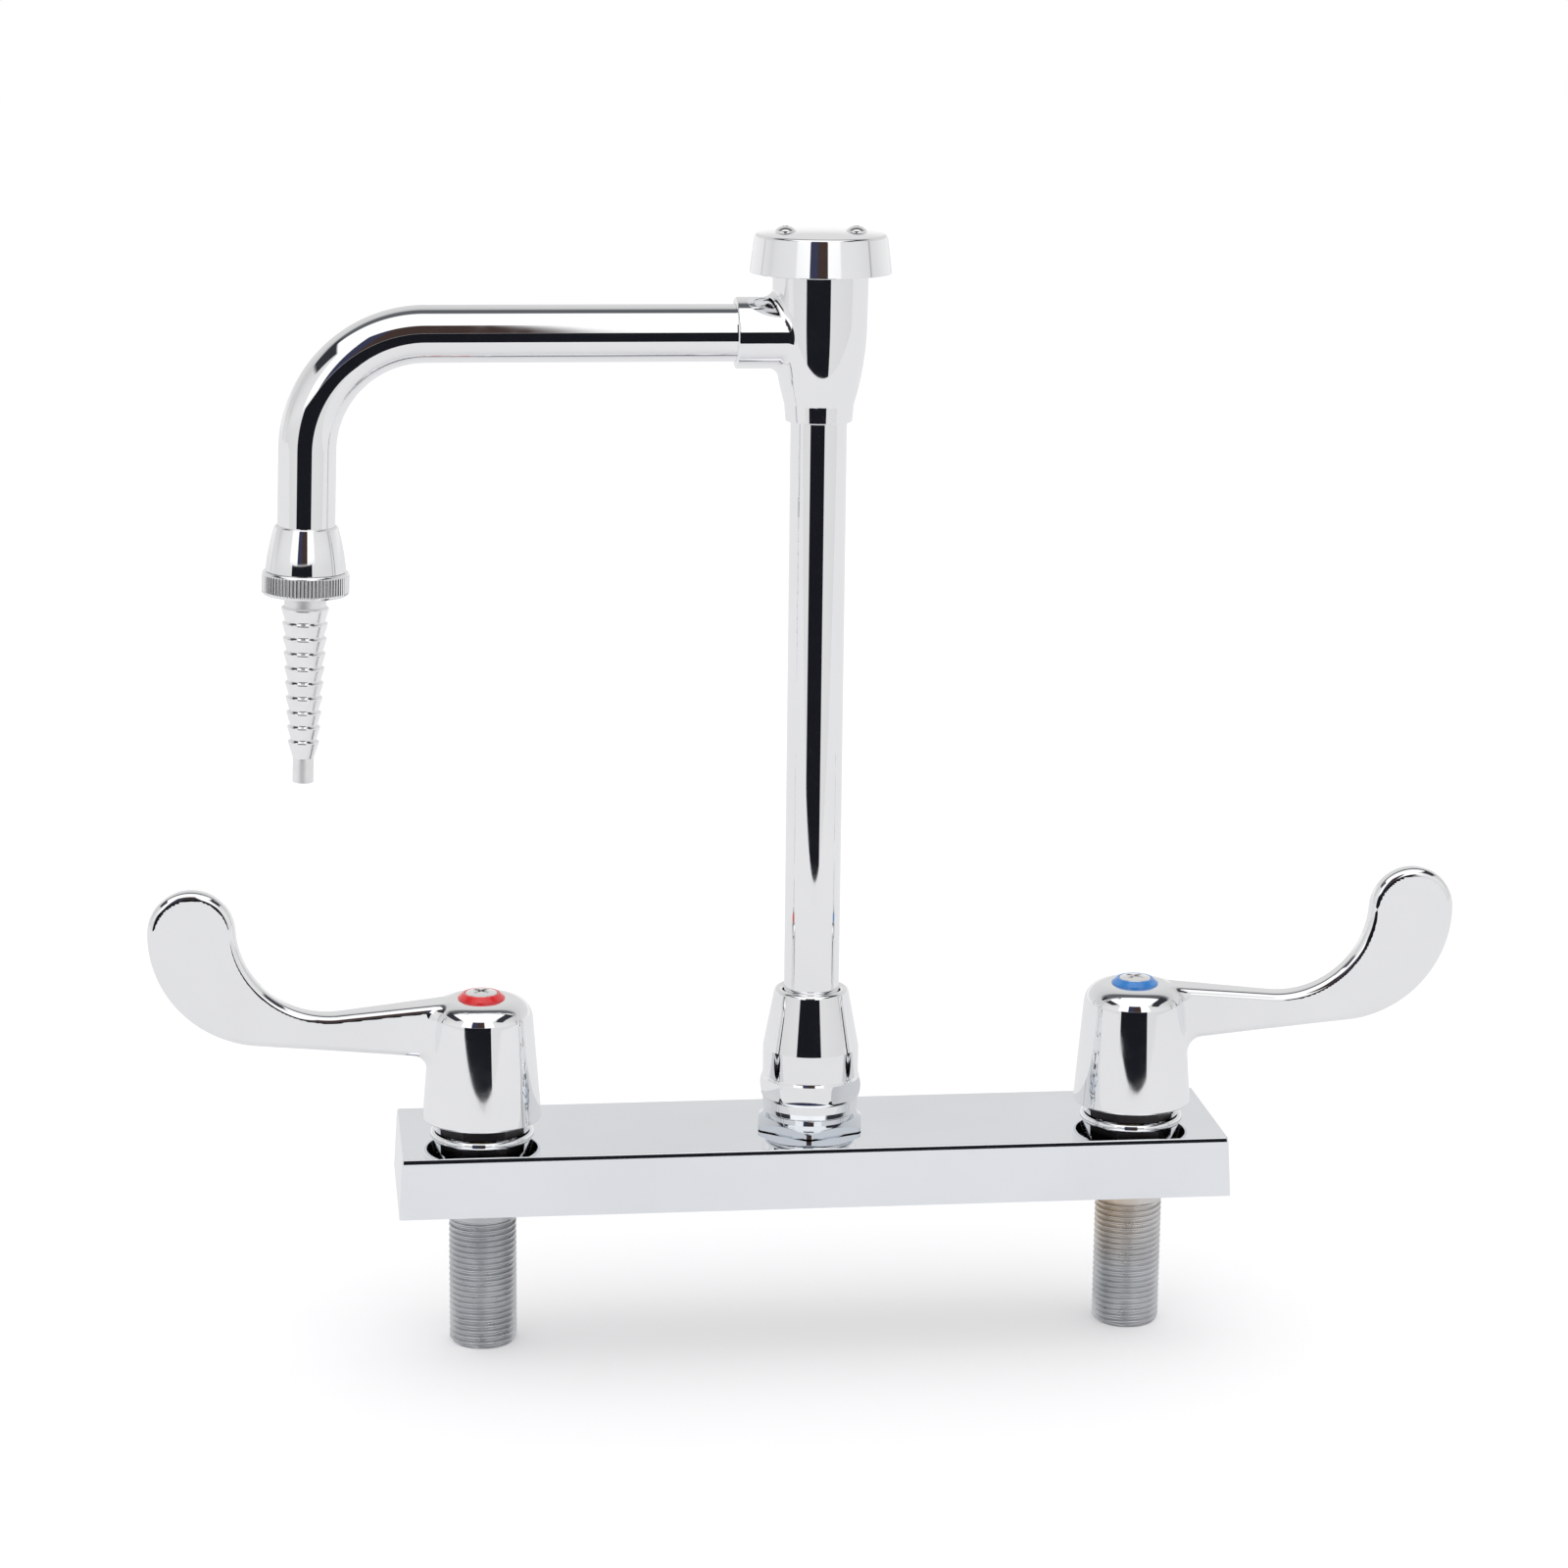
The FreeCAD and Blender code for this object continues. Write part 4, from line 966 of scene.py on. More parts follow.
def shank_mesh(x):
    """Collar, helical thread with run-out at the top, chamfered end and open bore."""
    around = 96
    top, bottom, inlet_top = -SHANK_COLLAR_DROP, -SHANK_DROP, INLET_LENGTH - SHANK_DROP
    rows = int((top - bottom) / THREAD_PITCH * THREAD_ROWS)
    rings = []
    for row in range(rows + 1):
        height = top + (bottom - top) * row / rows
        depth = THREAD_DEPTH * min(1.0, (top - height) / (THREAD_RUNOUT * THREAD_PITCH))
        limit = SHANK_RADIUS - max(bottom + SHANK_CHAMFER - height, 0)
        wave = np.abs(2 * ((height / THREAD_PITCH - np.arange(around) / around) % 1.0) - 1)
        groove = np.clip((wave - THREAD_FLAT) / (1 - 2 * THREAD_FLAT), 0, 1)
        rings.append((np.minimum(SHANK_RADIUS - depth * (0.5 - 0.5 * np.cos(math.pi * groove)), limit), height))
    for radius, height in ((INLET_RADIUS, bottom), (INLET_RADIUS, inlet_top), (SHANK_PORT_RADIUS, inlet_top),
                           (SHANK_PORT_RADIUS, SHANK_TOP), (SHANK_COLLAR_RADIUS, SHANK_TOP),
                           (SHANK_COLLAR_RADIUS, top)):
        rings.append((np.full(around, radius), height))
    points, faces = loop_of(rings)
    return mesh_from(points + (x, 0, 0), faces, sharp_angle=40)


for side, x in SIDES:
    new_piece(side + "_shank_threaded", "base", shank_zinc[side], [side + "_shank"], shank_mesh(x))


# Bonnet nuts

def hex_points(flats, turn):
    corner = flats / math.sqrt(3)
    angles = [math.radians(turn + 60 * i) for i in range(6)]
    return [(corner * math.cos(angle), corner * math.sin(angle)) for angle in angles]


def prism(outline, bottom, top):
    """Closed straight prism over a convex outline."""
    count = len(outline)
    verts = [(x, y, bottom) for x, y in outline] + [(x, y, top) for x, y in outline]
    faces = [list(range(count))[::-1], [count + i for i in range(count)]]
    faces += [[i, (i + 1) % count, count + (i + 1) % count, count + i] for i in range(count)]
    return mesh_from(verts, faces)


def combine(first, second, operation):
    """Boolean of two meshes, kept as a new mesh."""
    a = bpy.data.objects.new("first", first)
    b = bpy.data.objects.new("second", second)
    for piece in (a, b):
        SCENE.collection.objects.link(piece)
    step = a.modifiers.new("combine", "BOOLEAN")
    step.operation = operation
    step.solver = "EXACT"
    step.object = b
    bpy.context.view_layer.update()
    made = bpy.data.meshes.new_from_object(a.evaluated_get(bpy.context.evaluated_depsgraph_get()))
    bpy.data.objects.remove(a)
    bpy.data.objects.remove(b)
    return made


def crease(mesh, angle):
    """Smooth shading with creases over an angle, without the normals left by a boolean."""
    clean = bpy.data.meshes.new("creased")
    work = bmesh.new()
    work.from_mesh(mesh)
    bmesh.ops.remove_doubles(work, verts=work.verts, dist=1e-7)
    bmesh.ops.dissolve_limit(work, angle_limit=math.radians(0.5), verts=work.verts, edges=work.edges)
    work.to_mesh(clean)
    work.free()
    if clean.has_custom_normals:
        clean.attributes.remove(clean.attributes["custom_normal"])
    clean.polygons.foreach_set("use_smooth", [True] * len(clean.polygons))
    clean.set_sharp_from_angle(angle=math.radians(angle))
    return clean


def shaded_like(mesh, normal_at):
    """Exact corner normals on a mesh, from a function of a corner's place and its face's middle, in mm."""
    normals = []
    for face in mesh.polygons:
        middle = np.array(face.center) / MM
        for v in face.vertices:
            normals.append(normal_at(np.array(mesh.vertices[v].co) / MM, middle, np.array(face.normal)))
    mesh.polygons.foreach_set("use_smooth", [True] * len(mesh.polygons))
    mesh.normals_split_custom_set([tuple(n) for n in normals])
    return mesh


def shade_by(path):
    """Exact normals of a turned surface: of the outline's strip that lies nearest to a face's middle."""
    profile = np.array(path.points)
    starts, ends = path.normals()
    run = profile[1:] - profile[:-1]
    square = np.sum(run * run, axis=1)

    def normal_at(place, centre):
        spot = np.array([math.hypot(centre[0], centre[1]), centre[2]])
        share = np.clip(np.sum((spot - profile[:-1]) * run, axis=1) / square, 0, 1)
        gap = np.linalg.norm(profile[:-1] + share[:, None] * run - spot, axis=1)
        i = int(np.argmin(gap))
        here = np.array([math.hypot(place[0], place[1]), place[2]])
        t = float(np.clip((here - profile[i]) @ run[i] / square[i], 0, 1))
        pair = starts[i] * (1 - t) + ends[i] * t
        beside = place if here[0] > 1e-6 else centre
        out = np.array([beside[0], beside[1]]) / max(math.hypot(beside[0], beside[1]), 1e-9)
        normal = np.array([pair[0] * out[0], pair[0] * out[1], pair[1]])
        return normal / max(np.linalg.norm(normal), 1e-9)
    return normal_at


def bonnet_ring_mesh(x):
    path = Outline(BONNET_BORE, BONNET_BOTTOM).line(BONNET_THREAD, BONNET_BOTTOM)
    path.line(BONNET_THREAD, BONNET_FLANGE_BOTTOM).line(BONNET_FLANGE, BONNET_FLANGE_BOTTOM)
    path.round((BONNET_FLANGE, BONNET_FLANGE_TOP), (BONNET_BORE, BONNET_FLANGE_TOP), BONNET_ROUNDING, 12)
    path.line(BONNET_BORE, BONNET_FLANGE_TOP).close()
    return turned(path, 160, place=Matrix.Translation((x, 0, 0)))


def bonnet_hex_mesh(x):
    """Wrench hex of the bonnet nut with turned-down corners, deep in the hub's shade; its near-black colour is
    painted shade.
    """
    top = BONNET_FLANGE_TOP + BONNET_HEX_HEIGHT
    corner = BONNET_HEX / math.sqrt(3)
    path = Outline(BONNET_BORE, BONNET_FLANGE_TOP).line(corner, BONNET_FLANGE_TOP)
    path.line(corner, top - BONNET_HEX_CHAMFER[1]).line(corner - BONNET_HEX_CHAMFER[0], top)
    path.line(BONNET_BORE, top).close()
    block = prism(hex_points(BONNET_HEX, 0), BONNET_FLANGE_TOP - 1, top + 1)
    made = crease(combine(block, turned(path, 96), "INTERSECT"), 15)
    made.transform(Matrix.Translation((x * MM, 0, 0)))
    return made


for side, x in SIDES:
    new_piece(side + "_bonnet_ring", "base", fitting_chrome, [side + "_bonnet_nut"],
              bonnet_ring_mesh(x))
    # the hex is brass painted near black: painted shade from the hub over it
    new_piece(side + "_bonnet_hex", "base", painted_shade_brass, [], bonnet_hex_mesh(x))


# Centre adapter

def adapter_mesh():
    drop = (ADAPTER_CORNER - ADAPTER_CHAMFER) * math.tan(math.radians(ADAPTER_CHAMFER_ANGLE))
    foot_top = BODY_HEIGHT + ADAPTER_FOOT_HEIGHT
    envelope = Outline(0, BODY_HEIGHT).line(ADAPTER_FOOT, BODY_HEIGHT).line(ADAPTER_FOOT, foot_top)
    envelope.line(ADAPTER_CORNER, foot_top).line(ADAPTER_CORNER, ADAPTER_TOP - drop)
    envelope.line(ADAPTER_CHAMFER, ADAPTER_TOP).line(0, ADAPTER_TOP)
    block = prism(hex_points(ADAPTER_FLATS, ADAPTER_TURN), BODY_HEIGHT, ADAPTER_TOP)
    return crease(combine(block, turned(envelope, 192), "INTERSECT"), 15)


new_piece("spout_adapter_hex", "base", adapter_chrome, ["spout_adapter"], adapter_mesh())
neck_bottom = ADAPTER_TOP - ADAPTER_NECK_SINK
neck_path = Outline(ADAPTER_BORE, neck_bottom).line(ADAPTER_NECK, neck_bottom)
neck_path.line(ADAPTER_NECK, ADAPTER_NECK_TOP - ADAPTER_NECK_CHAMFER)
neck_path.line(ADAPTER_NECK - ADAPTER_NECK_CHAMFER, ADAPTER_NECK_TOP)
neck_path.line(ADAPTER_BORE, ADAPTER_NECK_TOP).close()
new_piece("spout_adapter_neck", "base", fitting_chrome, [], turned(neck_path, 96))


# Spout nut

def nut_mesh():
    middle = (NUT_HEX_BOTTOM + NUT_HEX_TOP) / 2
    bottom, top = middle - NUT_BEAD_HEIGHT / 2, middle + NUT_BEAD_HEIGHT / 2
    foot = (NUT_RADIUS, NUT_BOTTOM + NUT_FOOT_HEIGHT)
    path = Outline(NUT_THREAD, NUT_BOTTOM)
    path.round((NUT_END_RADIUS, NUT_BOTTOM), foot, NUT_FOOT_ROUNDING, 8)
    path.line(*foot)
    path.line(NUT_RADIUS, bottom).arc((NUT_BEAD, middle), (NUT_RADIUS, top), 16)
    path.line(NUT_RADIUS, NUT_CONE_BOTTOM)
    path.round((NUT_TOP_RADIUS, NUT_CONE_TOP), (NUT_BORE, NUT_CONE_TOP), NUT_LIP, 10)
    path.round((NUT_BORE, NUT_CONE_TOP), (NUT_BORE, NUT_SHOULDER), NUT_LIP, 10)
    path.line(NUT_BORE, NUT_SHOULDER).line(NUT_THREAD, NUT_SHOULDER).close()
    made = turned(path, 192)
    ring = sleeve(NUT_HEX_FLATS / 2 - 0.5, NUT_BEAD + 1, NUT_HEX_BOTTOM, NUT_HEX_TOP)
    block = prism(hex_points(NUT_HEX_FLATS, NUT_HEX_TURN), NUT_HEX_BOTTOM - 1, NUT_HEX_TOP + 1)
    cutter = combine(turned(ring, 192), block, "DIFFERENCE")
    made = combine(made, cutter, "DIFFERENCE")
    lathe = shade_by(path)
    middles = [math.radians(NUT_HEX_TURN + 30 + 60 * i) for i in range(6)]
    flats = [np.array([math.cos(angle), math.sin(angle), 0]) for angle in middles]

    def normal_at(place, centre, flat):
        if NUT_HEX_BOTTOM < centre[2] < NUT_HEX_TOP:
            for out in flats:
                if abs(centre @ out - NUT_HEX_FLATS / 2) < 0.01:
                    return out
        if abs(abs(flat[2]) - 1) < 1e-3:
            return flat
        return lathe(place, centre)

    return shaded_like(made, normal_at)


new_piece("spout_nut_cone", "base", fitting_chrome, ["spout_nut"], nut_mesh())


# Riser

new_piece("riser_drawn_tube", "spout", tube_chrome, ["riser_tube"],
          turned(sleeve(RISER_RADIUS - TUBE_WALL, RISER_RADIUS, RISER_BOTTOM, RISER_TOP), 160))


# Arm: horizontal run, bend and leg in one tube

def arm_mesh():
    lean, turn = math.radians(LEG_LEAN), math.radians(90 - LEG_LEAN)
    bend_x = BEND_RADIUS * math.tan(turn / 2) - ARM_REACH
    around, bends = 128, 48
    stations = [(ARM_START, ARM_HEIGHT, 0.0)]
    for step in range(bends + 1):
        heading = turn * step / bends
        stations.append((bend_x - BEND_RADIUS * math.sin(heading),
                         ARM_HEIGHT - BEND_RADIUS * (1 - math.cos(heading)), heading))
    stations.append((-ARM_REACH - LEG_END * math.sin(lean), ARM_HEIGHT - LEG_END * math.cos(lean), turn))
    verts = []
    shades = []
    for radius, sign, row in ((ARM_RADIUS, 1, stations), (ARM_RADIUS - TUBE_WALL, -1, stations[::-1])):
        for x, z, heading in row:
            for j in range(around):
                angle = 2 * math.pi * j / around
                out = (math.cos(angle) * math.sin(heading), math.sin(angle), -math.cos(angle) * math.cos(heading))
                verts.append((x + radius * out[0], radius * out[1], z + radius * out[2]))
                shades.append(tuple(sign * c for c in out))
    faces = loop_faces(2 * len(stations), around)
    ends = {len(stations) - 1: (-math.cos(turn), 0.0, -math.sin(turn)), 2 * len(stations) - 1: (1.0, 0.0, 0.0)}
    corners = []
    for index, face in enumerate(faces):
        end = ends.get(index // around)
        corners += [end or shades[v] for v in face]
    return mesh_from(verts, faces, corners)


new_piece("arm_bent_tube", "spout", tube_chrome, ["arm_tube"], arm_mesh())


# Outlet coupling and serrated nozzle

def coupling_mesh():
    socket, thread = ARM_RADIUS + FIT_GAP, NOZZLE_THREAD + FIT_GAP
    foot = (COUPLING_BOTTOM_RADIUS, -COUPLING_BOTTOM)
    path = Outline(socket, -COUPLING_TOP)
    path.round((COUPLING_TOP_RADIUS, -COUPLING_TOP), foot, COUPLING_ROUNDING)
    path.arc((COUPLING_MID_RADIUS, -(COUPLING_TOP + COUPLING_BOTTOM) / 2), (foot[0], foot[1] + COUPLING_CHAMFER), 12)
    path.line(foot[0] - COUPLING_CHAMFER, foot[1]).line(thread, foot[1])
    path.line(thread, -COUPLING_SOCKET_END - 0.2).line(socket, -COUPLING_SOCKET_END).close()
    return turned(path, 144, place=ON_LEG, downward=True)


new_piece("outlet_flare", "spout", fitting_chrome, ["outlet_coupling"], coupling_mesh())


def nozzle_mesh():
    """Barbed spigot from inside the knurled ring to the tip, hollow."""
    top = NECK_OVERLAP - COLLAR_BOTTOM
    path = Outline(TIP_BORE, top).line(NECK_RADIUS, top)
    root = NECK_RADIUS
    for index in range(BARB_COUNT):
        rim = BARB_RADII[0] - (BARB_RADII[0] - BARB_RADII[1]) * index / (BARB_COUNT - 1)
        edge = -BARB_FIRST - BARB_PITCH * index
        path.line(root, edge + BARB_SHOULDER).line(rim - 0.08, edge + 0.06).line(rim, edge - 0.06)
        path.line(rim, edge - BARB_LAND)
        root = rim - BARB_DEPTH
    path.line(TIP_RADIUS, -TIP_START).line(TIP_RADIUS, TIP_CHAMFER - TIP_END).line(TIP_RADIUS - TIP_CHAMFER, -TIP_END)
    path.line(TIP_BORE, -TIP_END).close()
    return turned(path, 128, place=ON_LEG, downward=True)


def knurl_mesh():
    """Ring with straight teeth between two plain chamfered ends, its second material in the grooves."""
    tooth = (0.0, 0.0, 0.25, 0.85, 1.0, 1.0, 0.85, 0.25)
    grooves = np.tile(tooth, KNURL_TEETH) * KNURL_DEPTH
    rows = [(NOZZLE_THREAD - 0.1, COLLAR_TOP, 0), (COLLAR_RADIUS - COLLAR_CHAMFER, COLLAR_TOP, 0),
            (COLLAR_RADIUS - 0.1, COLLAR_TOP + 0.4, 0), (COLLAR_RADIUS, COLLAR_TOP + KNURL_LAND, 0),
            (COLLAR_RADIUS, COLLAR_TOP + KNURL_LAND + KNURL_SLOPE, 1),
            (COLLAR_RADIUS, COLLAR_BOTTOM - KNURL_LAND - KNURL_SLOPE, 1),
            (COLLAR_RADIUS, COLLAR_BOTTOM - KNURL_LAND, 0), (COLLAR_RADIUS - COLLAR_CHAMFER, COLLAR_BOTTOM, 0),
            (NECK_RADIUS - 0.1, COLLAR_BOTTOM, 0)]
    points, faces = loop_of([(radius - toothed * grooves, -drop) for radius, drop, toothed in rows])
    made = mesh_from(placed(points, ON_LEG), faces, sharp_angle=28)
    # faces at the bottoms of the grooves between the teeth take the darker second material
    toothed_row = 4
    for face in made.polygons:
        row, place = divmod(face.index, len(grooves))
        if row == toothed_row and place % len(tooth) in (3, 4, 5):
            face.material_index = 1
    return made


new_piece("nozzle_spigot", "spout", nozzle_satin, ["serrated_nozzle"], nozzle_mesh())
knurl = new_piece("nozzle_knurl", "spout", knurl_chrome, [], knurl_mesh())
knurl.data.materials.append(groove_dark_metal)


# Index rings

def index_ring_mesh(x):
    top = HUB_TOP + INDEX_HEIGHT
    path = Outline(INDEX_BORE, HUB_TOP).line(INDEX_RADIUS, HUB_TOP)
    path.round((INDEX_RADIUS, HUB_TOP + INDEX_FOOT), (INDEX_TOP_RADIUS, top), 0.2, 4)
    path.round((INDEX_TOP_RADIUS, top), (INDEX_BORE, top), 0.25, 4)
    path.line(INDEX_BORE, top).close()
    return turned(path, 96, place=Matrix.Translation((x, 0, 0)))


for side, x in SIDES:
    new_piece(side + "_index_disc", side + "_lever", index_enamel[side], [side + "_index_ring"],
              index_ring_mesh(x))


# Wrist-blade levers: hub and blade in one forging, hollow underneath

def hub_radius(height):
    return HUB_BOTTOM_RADIUS - (height - HUB_BOTTOM) * math.tan(math.radians(HUB_SIDE_ANGLE))


def blade_side():
    """Side view of the blade as joined lines and arcs, over (reach from the hub's axis, height)."""
    tip = np.array([BLADE_REACH - BLADE_TIP_RADIUS, BLADE_TOP - BLADE_TIP_RADIUS])

    def ray(degrees):
        return np.array([math.cos(math.radians(degrees)), math.sin(math.radians(degrees))])

    outer = tip + (BLADE_OUTER_ARC - BLADE_TIP_RADIUS) * ray(180 + BLADE_OUTER_TURN)
    inner = tip + (BLADE_INNER_ARC + BLADE_TIP_RADIUS) * ray(180 - BLADE_INNER_TURN)
    top_angle = -90 - BLADE_TOP_SLOPE
    bottom_angle = -90 + BLADE_BOTTOM_SLOPE
    neck_top = inner + BLADE_INNER_ARC * ray(top_angle)
    neck_bottom = outer + BLADE_OUTER_ARC * ray(bottom_angle)
    root_top = (BLADE_ROOT_REACH,
                neck_top[1] + (neck_top[0] - BLADE_ROOT_REACH) * math.tan(math.radians(BLADE_TOP_SLOPE)))
    root_bottom = (0, neck_bottom[1] - neck_bottom[0] * math.tan(math.radians(BLADE_BOTTOM_SLOPE)))
    return curve([("line", root_bottom, neck_bottom),
                  ("arc", outer, BLADE_OUTER_ARC, bottom_angle, BLADE_OUTER_TURN, 1),
                  ("arc", tip, BLADE_TIP_RADIUS, BLADE_OUTER_TURN, 180 - BLADE_INNER_TURN, 1),
                  ("arc", inner, BLADE_INNER_ARC, -BLADE_INNER_TURN, top_angle, -1),
                  ("line", neck_top, root_top), ("line", root_top, (0, root_top[1] - BLADE_ROOT_DROP))])


BLADE_SIDE = blade_side()
BLADE_NECK_REACH = BLADE_REACH - BLADE_TIP_RADIUS - BLADE_OUTER_ARC
BLADE_THICKNESS = np.polyfit([BLADE_ROOT_REACH, BLADE_NECK_REACH, BLADE_REACH],
                             [BLADE_ROOT_THICKNESS, BLADE_NECK_THICKNESS, BLADE_TIP_THICKNESS], 2)
HUB_SIDE = slanted((HUB_BOTTOM_RADIUS, HUB_BOTTOM), (hub_radius(HUB_TOP), HUB_TOP))
HUB_MOUTH = HUB_BOTTOM_RADIUS - HUB_RIM_WIDTH
HUB_INSIDE = slanted((HUB_MOUTH, HUB_BOTTOM), (hub_radius(HUB_CAVITY_TOP) - HUB_WALL, HUB_CAVITY_TOP))


def blade_field(points):
    reach = -points[:, 0]
    distance, outward = BLADE_SIDE(reach, points[:, 2])
    outline = distance, np.stack([-outward[:, 0], np.zeros(len(reach)), outward[:, 1]], axis=1)
    outline = within(outline, half_space(points, (0, 0, 0), (1, 0, 0)))
    thickness = np.polyval(BLADE_THICKNESS, reach)
    taper = np.polyval(np.polyder(BLADE_THICKNESS), reach) / 2
    steep = np.hypot(1, taper)
    face = np.stack([taper / steep, np.where(points[:, 1] < 0, -1.0, 1.0) / steep, np.zeros(len(reach))], axis=1)
    faces = (np.abs(points[:, 1]) - thickness / 2) / steep, face
    return within(outline, faces, BLADE_EDGE)


def handle_field(points):
    hub = within(about_axis(points, HUB_SIDE), under(points, HUB_TOP), HUB_SHOULDER)
    solid = joined(hub, blade_field(points), BLADE_ROOT_FILLET)
    hollow = within(about_axis(points, HUB_INSIDE), under(points, HUB_CAVITY_TOP), HUB_CAVITY_ROUNDING)
    radius, around = round_axis(points)
    relief = within((radius - STEM_RELIEF, around), under(points, HUB_CAVITY_TOP + STEM_RELIEF_DEPTH))
    socket = under(points, STEM_SOCKET_TOP)
    for direction in ((1, 0, 0), (-1, 0, 0), (0, 1, 0), (0, -1, 0)):
        socket = within(socket, half_space(points, [STEM_SOCKET / 2 * c for c in direction], direction))
    hole = radius - HANDLE_SCREW_HOLE, around
    for space in (relief, socket, hole):
        hollow = joined(hollow, space)
    return within(solid, opposite(hollow))


def handle_skin():
    side = HUB_BOTTOM_RADIUS + SKIN_MARGIN
    made = Skin(handle_field, (-BLADE_REACH - SKIN_MARGIN, -side, HUB_BOTTOM - SKIN_MARGIN),
                (side, side, BLADE_TOP + SKIN_MARGIN), LEVER_GRID)
    frame = Matrix.Translation((0, 0, HUB_BOTTOM)) @ Matrix.Rotation(math.pi, 4, "X")
    path = Outline(HUB_MOUTH, 0).round((HUB_BOTTOM_RADIUS, 0), (hub_radius(HUB_TOP), HUB_BOTTOM - HUB_TOP),
                                       HUB_RIM, 5)
    edge = made.cut(frame @ Vector((0, 0, path.points[-1][1])), (0, 0, -1))
    made.close(edge, frame, path, (HUB_MOUTH + HUB_BOTTOM_RADIUS) / 2)
    return made


lever = handle_skin()
for side, x in SIDES:
    new_piece(side + "_wrist_blade", side + "_lever", handle_chrome, [side + "_handle"],
              lever.mesh(side == "cold", (x, 0, 0)))


# Vacuum breaker body with its side outlet

def run_on_arc(start, end, beyond):
    """Arc piece from start to end that runs on without a crease towards the point beyond."""
    start, end, beyond = (np.array(p, float) for p in (start, end, beyond))
    heading = (beyond - end) / np.linalg.norm(beyond - end)
    across = np.array([-heading[1], heading[0]])
    chord = start - end
    radius = chord @ chord / (2 * across @ chord)
    centre = end + across * radius
    first, last = (math.degrees(math.atan2(*(p - centre)[::-1])) for p in (start, end))
    return ("arc", centre, abs(radius), first, last, 1 if radius > 0 else -1)


BREAKER_NECK = (VB_COLLAR_RADII[1], VB_COLLAR_TOP)
BREAKER_SIDE = curve([("line", (2 * VB_COLLAR_RADII[0] - VB_COLLAR_RADII[1], 2 * VB_BOTTOM - VB_COLLAR_TOP),
                       BREAKER_NECK),
                      run_on_arc(BREAKER_NECK, VB_SHOULDER, VB_TOP),
                      ("line", VB_SHOULDER, (2 * VB_TOP[0] - VB_SHOULDER[0], 2 * VB_TOP[1] - VB_SHOULDER[1]))])


def breaker_field(points):
    turned_body = about_axis(points, BREAKER_SIDE)
    boss = within(along_arm(points, VB_BOSS_RADIUS), half_space(points, (0, 0, 0), (1, 0, 0)))
    solid = joined(turned_body, boss, VB_BOSS_FILLET)
    radius, around = round_axis(points)
    hollow = within((radius - VB_CHAMBER, around), half_space(points, (0, 0, VB_FLOOR), (0, 0, -1)))
    socket = within((radius - RISER_RADIUS - FIT_GAP, around), under(points, RISER_TOP))
    bore = within((radius - VB_INLET, around), under(points, VB_FLOOR + 1))
    outlet = within(along_arm(points, VB_OUTLET), half_space(points, (0, 0, 0), (1, 0, 0)))
    arm = within(along_arm(points, ARM_RADIUS + FIT_GAP), half_space(points, (ARM_START, 0, 0), (1, 0, 0)))
    for space in (socket, bore, outlet, arm):
        hollow = joined(hollow, space)
    return within(solid, opposite(hollow))


def breaker_mesh():
    side = VB_TOP[0] + SKIN_MARGIN
    made = Skin(breaker_field, (-VB_BOSS_REACH - SKIN_MARGIN, -side, VB_BOTTOM - SKIN_MARGIN),
                (side, side, VB_TOP[1] + SKIN_MARGIN), BREAKER_GRID)
    half_turn = Matrix.Rotation(math.pi, 4, "X")
    ends = [(Matrix.Translation((0, 0, VB_BOTTOM)) @ half_turn, RISER_RADIUS + FIT_GAP, VB_COLLAR_RADII[0],
             VB_COLLAR_RADII[1], VB_BOTTOM - VB_COLLAR_TOP, 0.4),
            (Matrix.Translation((0, 0, VB_TOP[1])), VB_CHAMBER, VB_TOP[0], VB_SHOULDER[0],
             VB_SHOULDER[1] - VB_TOP[1], 0.3),
            (Matrix.Translation((-VB_BOSS_REACH, 0, ARM_HEIGHT)) @ Matrix.Rotation(-math.pi / 2, 4, "Y"),
             ARM_RADIUS + FIT_GAP, VB_BOSS_RADIUS, VB_BOSS_RADIUS, -VB_BOSS_REACH, 0.6)]
    for frame, inner, outer, behind, depth, rounding in ends:
        path = Outline(inner, 0).round((outer, 0), (behind, depth), rounding, 5)
        direction = frame.to_3x3() @ Vector((0, 0, 1))
        edge = made.cut(frame @ Vector((0, 0, path.points[-1][1])), direction)
        made.close(edge, frame, path, (inner + outer) / 2)
    return made.mesh()


new_piece("breaker_cast_body", "spout", breaker_chrome, ["vb_body"], breaker_mesh())


# Cap with two sunk screw seats

def dome(rim_radius, rim_height, top):
    """Sphere radius and centre height of a round dome from a rim up to a point on the axis."""
    rise = top - rim_height
    sphere = (rim_radius ** 2 + rise ** 2) / (2 * rise)
    return sphere, top - sphere


def add_dome(path, top, steps):
    """Dome from where an outline stands to a point on the axis."""
    rim = path.points[-1]
    sphere, centre = dome(*rim, top)
    half = math.asin(rim[0] / sphere) / 2
    return path.arc((sphere * math.sin(half), centre + sphere * math.cos(half)), (0, top), steps)


